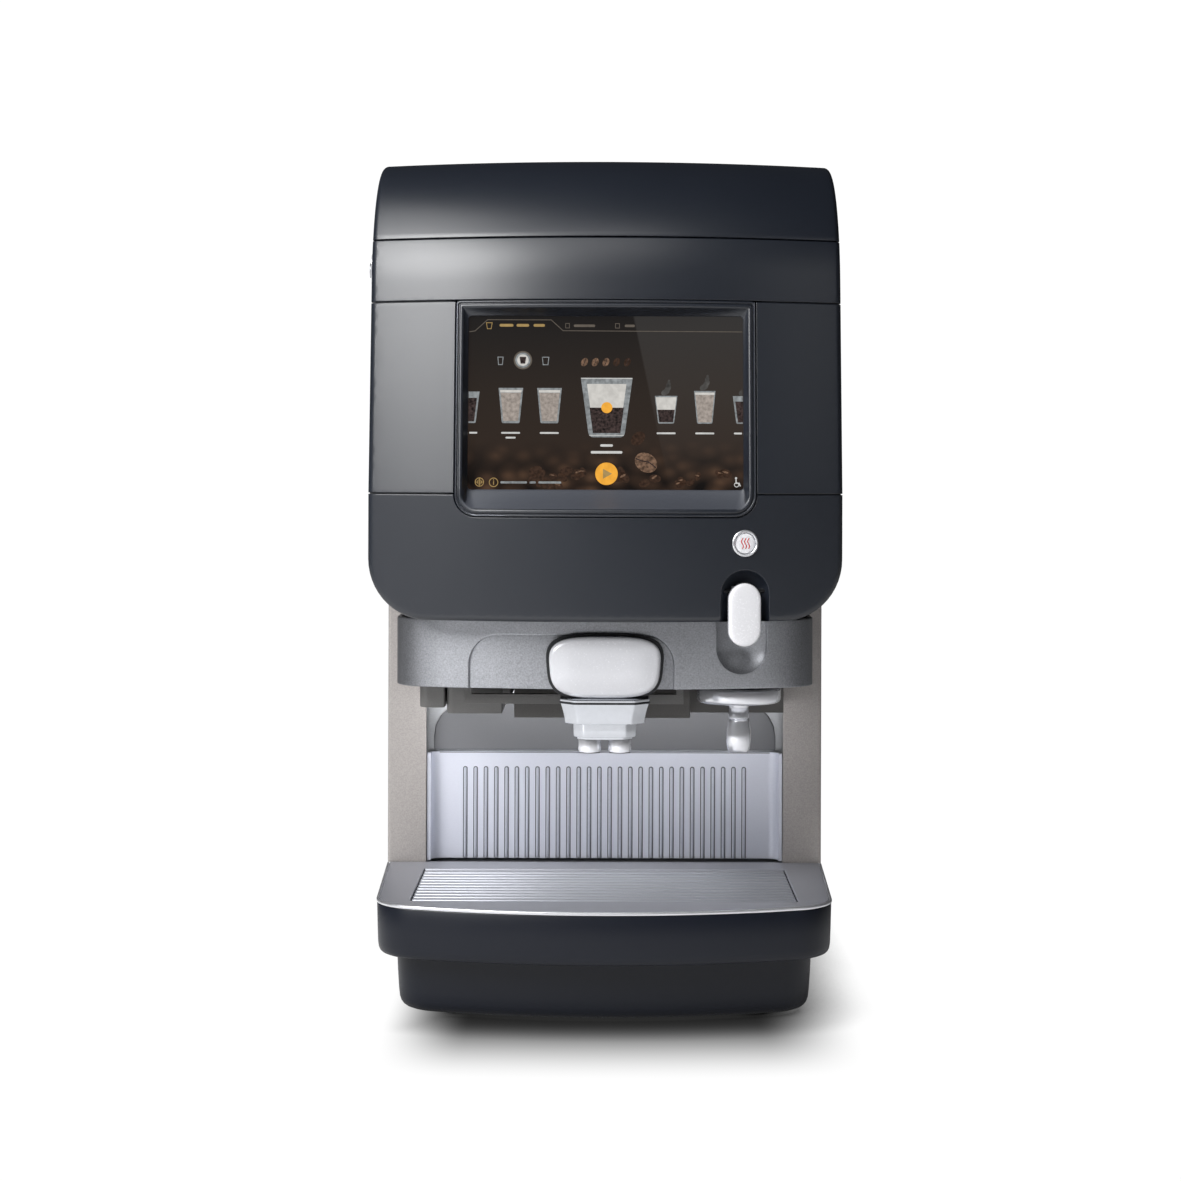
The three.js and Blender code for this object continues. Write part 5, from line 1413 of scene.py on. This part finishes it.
def build_plinth():
    low, high = BOX["base_plinth"]
    front, back, half, corner, bow = low[1], 270.0, 167.0, 30.0, 26.0
    z0, z1 = low[2], high[2]

    def corners(inset):
        w = half - inset
        shares = [0.15 * k for k in range(-5, 6)]
        bowed = [(w * share, front + inset + bow * share**2, 0) for share in shares]
        side = front + bow + inset
        return [(-w, back - inset, corner), (-w, side, corner)] + bowed + [(w, side, corner), (w, back - inset, corner)]

    _, counts, _ = outline(corners(0), pitch=8.0, turn=5.0)

    build = Build()
    bottom = [(z0 + 0.4, 12.5), (z0, 10.6), (z0 + 0.5, 8.2), (z0 + 1.6, 6.2), (z0 + 3.2, 4.6), (z0 + 5.5, 3.2),
              (z0 + 9.0, 2.2), (z0 + 16, 1.5), (z0 + 30, 0.7), (z1 - 0.8, 0.0), (z1, 0.6)]
    inner = [(z1, 3.5), (z0 + 10, 6.0), (z0 + 3.0, 12.6)]
    build.loft([at_height(outline_points(corners(inset), counts), z) for z, inset in bottom + inner], loop=True)
    build.done("plinth_shell", "cabinet", "tray_paint", ("base_plinth",))
    deck = Build()
    narrow, deck_front, step_y = half - 3.2, -214, -54
    right = [(narrow, deck_front, 26), (narrow, step_y, 0), (high[0], step_y, 2), (high[0], high[1], 2)]
    shape = outline_points([(-narrow, deck_front, 26)] + right + [
        (low[0], high[1], 2), (low[0], step_y, 2), (-narrow, step_y, 0)], turn=10)
    deck.loft([at_height(shape, z) for z in (z1 - 3.0, z1 - 0.3, z1)])
    deck.done("plinth_deck", "cabinet", "black_plastic")


# ------------------------------------------------------------------ carried-over CAD nodes


CAD_FINISH = {
    "head_shell": "black_plastic", "upper_back_panel": "back_panel", "under_head_housing": "housing_grey",
    "dispense_ceiling": "black_plastic", "fan_rotor": "black_plastic", "outlet_rail": "cover_grey",
    "lever_pin": "dark_steel",
}


def dress_cad_nodes():
    slots = {entry["node"]: entry["material_slot"] for entry in frame["record"]["subparts"]}
    fine = ("lock", "leaf", "pin", "inlet", "rail", "board", "fan")
    for name, node in frame["nodes"].items():
        if node.hide_render:
            continue
        finish = CAD_FINISH.get(name, slots[name])
        node.data.materials.clear()
        node.data.materials.append(MATERIALS[finish])
        node.data.shade_smooth()
        node.modifiers.new("weld", "WELD").merge_threshold = 1e-5
        bevel = node.modifiers.new("edges", "BEVEL")
        bevel.width = 0.0003 if any(word in name for word in fine) else 0.0008
        bevel.segments = 2
        bevel.limit_method = "ANGLE"
        bevel.angle_limit = math.radians(38)
        bevel.use_clamp_overlap = True
        node.modifiers.new("normals", "WEIGHTED_NORMAL").keep_sharp = False


# ------------------------------------------------------------------ studio


def area_light(name, place, target, width, height, power):
    data = bpy.data.lights.new(name, "AREA")
    data.shape = "RECTANGLE"
    data.size, data.size_y = width, height
    data.energy = power
    light = bpy.data.objects.new(name, data)
    light.location = place
    light.rotation_mode = "QUATERNION"
    light.rotation_quaternion = (Vector(target) - Vector(place)).to_track_quat("-Z", "Y")
    bpy.context.scene.collection.objects.link(light)


# Soft lights: name, degrees to the left of the front, degrees up, size in metres, watts.
LIGHT_DISTANCE = 2.3
STUDIO_LIGHTS = (
    ("key_softbox", 40, 30, 1.15, 64),
    ("high_left", 60, 52, 1.1, 14),
    ("front", 0, 35, 0.8, 1.2),
    ("front_high", 0, 50, 0.8, 4.2),
    ("right_fill", -45, 22, 0.8, 1.6),
)
BAY_POWER = 0.26
LIGHT_AIM = Vector((0, -0.1, 0.42))
# What the camera sees of the paper, in its painted shadow and clear of it; other rays meet FLOOR_SPILL.
FLOOR_GLOW_NEAR = 0.06
FLOOR_GLOW_FAR = 1.02
FLOOR_SPILL = 0.08
FLOOR_HALF = 14.0
CONTACT_REACH = 0.06
CONTACT_POWER = 1.1
BACKDROP_GLOW = 1.05
SKY_LOW = 0.04
SKY_HIGH = 0.015

# The camera stands level in front of the machine; its shift frames it.
CAMERA_PLACE = (0.0, -2.029, 0.440)
CAMERA_LENS = 69.0
CAMERA_SENSOR = 36.0
CAMERA_SHIFT = (-0.0127, -0.1063)
CAMERA_ROLL = math.radians(-0.17)


def build_world():
    """A white backdrop for the camera, and a dim sky, brighter near the horizon, for every other ray."""
    world = bpy.data.worlds.new("studio")
    world.use_nodes = True
    bpy.context.scene.world = world
    tree = world.node_tree
    tree.nodes.clear()
    rise = axes(tree, add_node(tree, "TexCoord").outputs["Generated"])["Z"]
    strength = map_range(tree, rise, SKY_LOW, SKY_HIGH, 0.05, 0.55, smooth=True)
    dim = add_node(tree, "Background", {"Color": (0.95, 0.97, 1.0, 1), "Strength": strength})
    bright = add_node(tree, "Background", {"Color": (1, 1, 1, 1), "Strength": BACKDROP_GLOW})
    seen = add_node(tree, "LightPath").outputs["Is Camera Ray"]
    mix = add_node(tree, "MixShader", {"Fac": seen, 1: dim.outputs["Background"], 2: bright.outputs["Background"]})
    add_node(tree, "OutputWorld", {"Surface": mix.outputs["Shader"]})


def floor_material():
    """Pale paper. To the camera it is only as bright as its own tone; other rays meet lit paper.

    The tone has a painted soft shadow to the front and the right of the machine, and painted contact shade from ambient
    occlusion near it; the left side stays clear. Other rays see the paper darkened by the same occlusion.
    """
    material, tree, shader, coords = new_material("floor_paper")
    paper = ramp(tree, noise(tree, coords, 3.0), [(NOISE_LOW, (0.86, 0.86, 0.87)), (NOISE_HIGH, (0.88, 0.88, 0.88))])
    footprint = add_node(tree, "Mapping", {"Vector": coords, "Location": (0.0, 0.02, 0.0), "Scale": (0.3, 0.70, 1.0)})
    reach = add_node(tree, "VectorMath", {0: footprint.outputs["Vector"]}, operation="LENGTH").outputs["Value"]
    across = axes(tree, coords)["X"]
    # Painted contact shade: ambient occlusion darkens the paper near the machine.
    occlusion = add_node(tree, "AmbientOcclusion", {"Distance": CONTACT_REACH}, samples=8).outputs["AO"]
    painted_contact_shade = calculate(tree, "POWER", occlusion, CONTACT_POWER)

    def fade(value, start, end):
        """One at start, nothing at end."""
        return map_range(tree, value, 1.0, 0.0, start, end, smooth=True)

    # Painted shadow to the front and the right of the machine.
    left_shade = fade(across, -0.105, -0.178)
    front_shade = calculate(tree, "MULTIPLY", fade(reach, 0.150, 0.276), fade(across, 0.120, 0.205))
    shadow = calculate(tree, "MULTIPLY", front_shade, left_shade)
    glow = map_range(tree, shadow, FLOOR_GLOW_FAR, FLOOR_GLOW_NEAR)
    left_clear = calculate(tree, "SUBTRACT", 1.0, left_shade)
    lit = calculate(tree, "MULTIPLY", glow, calculate(tree, "MAXIMUM", painted_contact_shade, left_clear))
    seen = add_node(tree, "LightPath").outputs["Is Camera Ray"]
    unseen = map_range(tree, seen, 1.0, 0.0)
    feed(tree, shader, {
        "Base Color": mix_colours(tree, calculate(tree, "MULTIPLY", painted_contact_shade, unseen), (0.0, 0.0, 0.0, 1), paper),
        "Roughness": 0.8, "Specular IOR Level": 0.1, "Emission Color": (1, 1, 1, 1),
        "Emission Strength": map_range(tree, seen, FLOOR_SPILL, lit)})
    return material


def build_studio():
    scene = bpy.context.scene
    scene.view_settings.view_transform = "Standard"
    scene.view_settings.look = "None"
    build_world()

    floor_mesh = bpy.data.meshes.new("floor")
    corners = [(x * FLOOR_HALF, y * FLOOR_HALF, 0) for x, y in ((-1, -1), (1, -1), (1, 1), (-1, 1))]
    floor_mesh.from_pydata(corners, [], [(0, 1, 2, 3)])
    floor = bpy.data.objects.new("floor", floor_mesh)
    floor_mesh.materials.append(floor_material())
    scene.collection.objects.link(floor)

    for name, left, rise, size, power in STUDIO_LIGHTS:
        a, e = math.radians(left), math.radians(rise)
        place = Vector((-math.sin(a) * math.cos(e), -math.cos(a) * math.cos(e), math.sin(e))) * LIGHT_DISTANCE
        area_light(name, place + LIGHT_AIM, LIGHT_AIM, size, size, power)
    area_light("bay_strip", (0.0, -0.130, 0.2300), (0.0, -0.045, 0.105), 0.29, 0.03, BAY_POWER)

    camera_data = bpy.data.cameras.new("camera")
    camera_data.lens = CAMERA_LENS
    camera_data.sensor_width = CAMERA_SENSOR
    camera_data.shift_x, camera_data.shift_y = CAMERA_SHIFT
    camera = bpy.data.objects.new("camera", camera_data)
    camera.location = CAMERA_PLACE
    camera.rotation_euler = (math.pi / 2, CAMERA_ROLL, 0)
    scene.collection.objects.link(camera)
    scene.camera = camera



build_studio()
build_top_cover()
build_door_skins()
build_seam_liner()
build_cover_gasket()
build_bezel()
build_glass()
mark_menu()
mark_drinks()
mark_beans()
mark_signs()
build_button()
build_lever()
build_lever_recess()
build_apron()
build_outlet()
build_mixer_covers()
build_hot_water_outlet()
build_splash_plate()
build_tray()
build_plinth()
dress_cad_nodes()

bpy.context.view_layer.update()
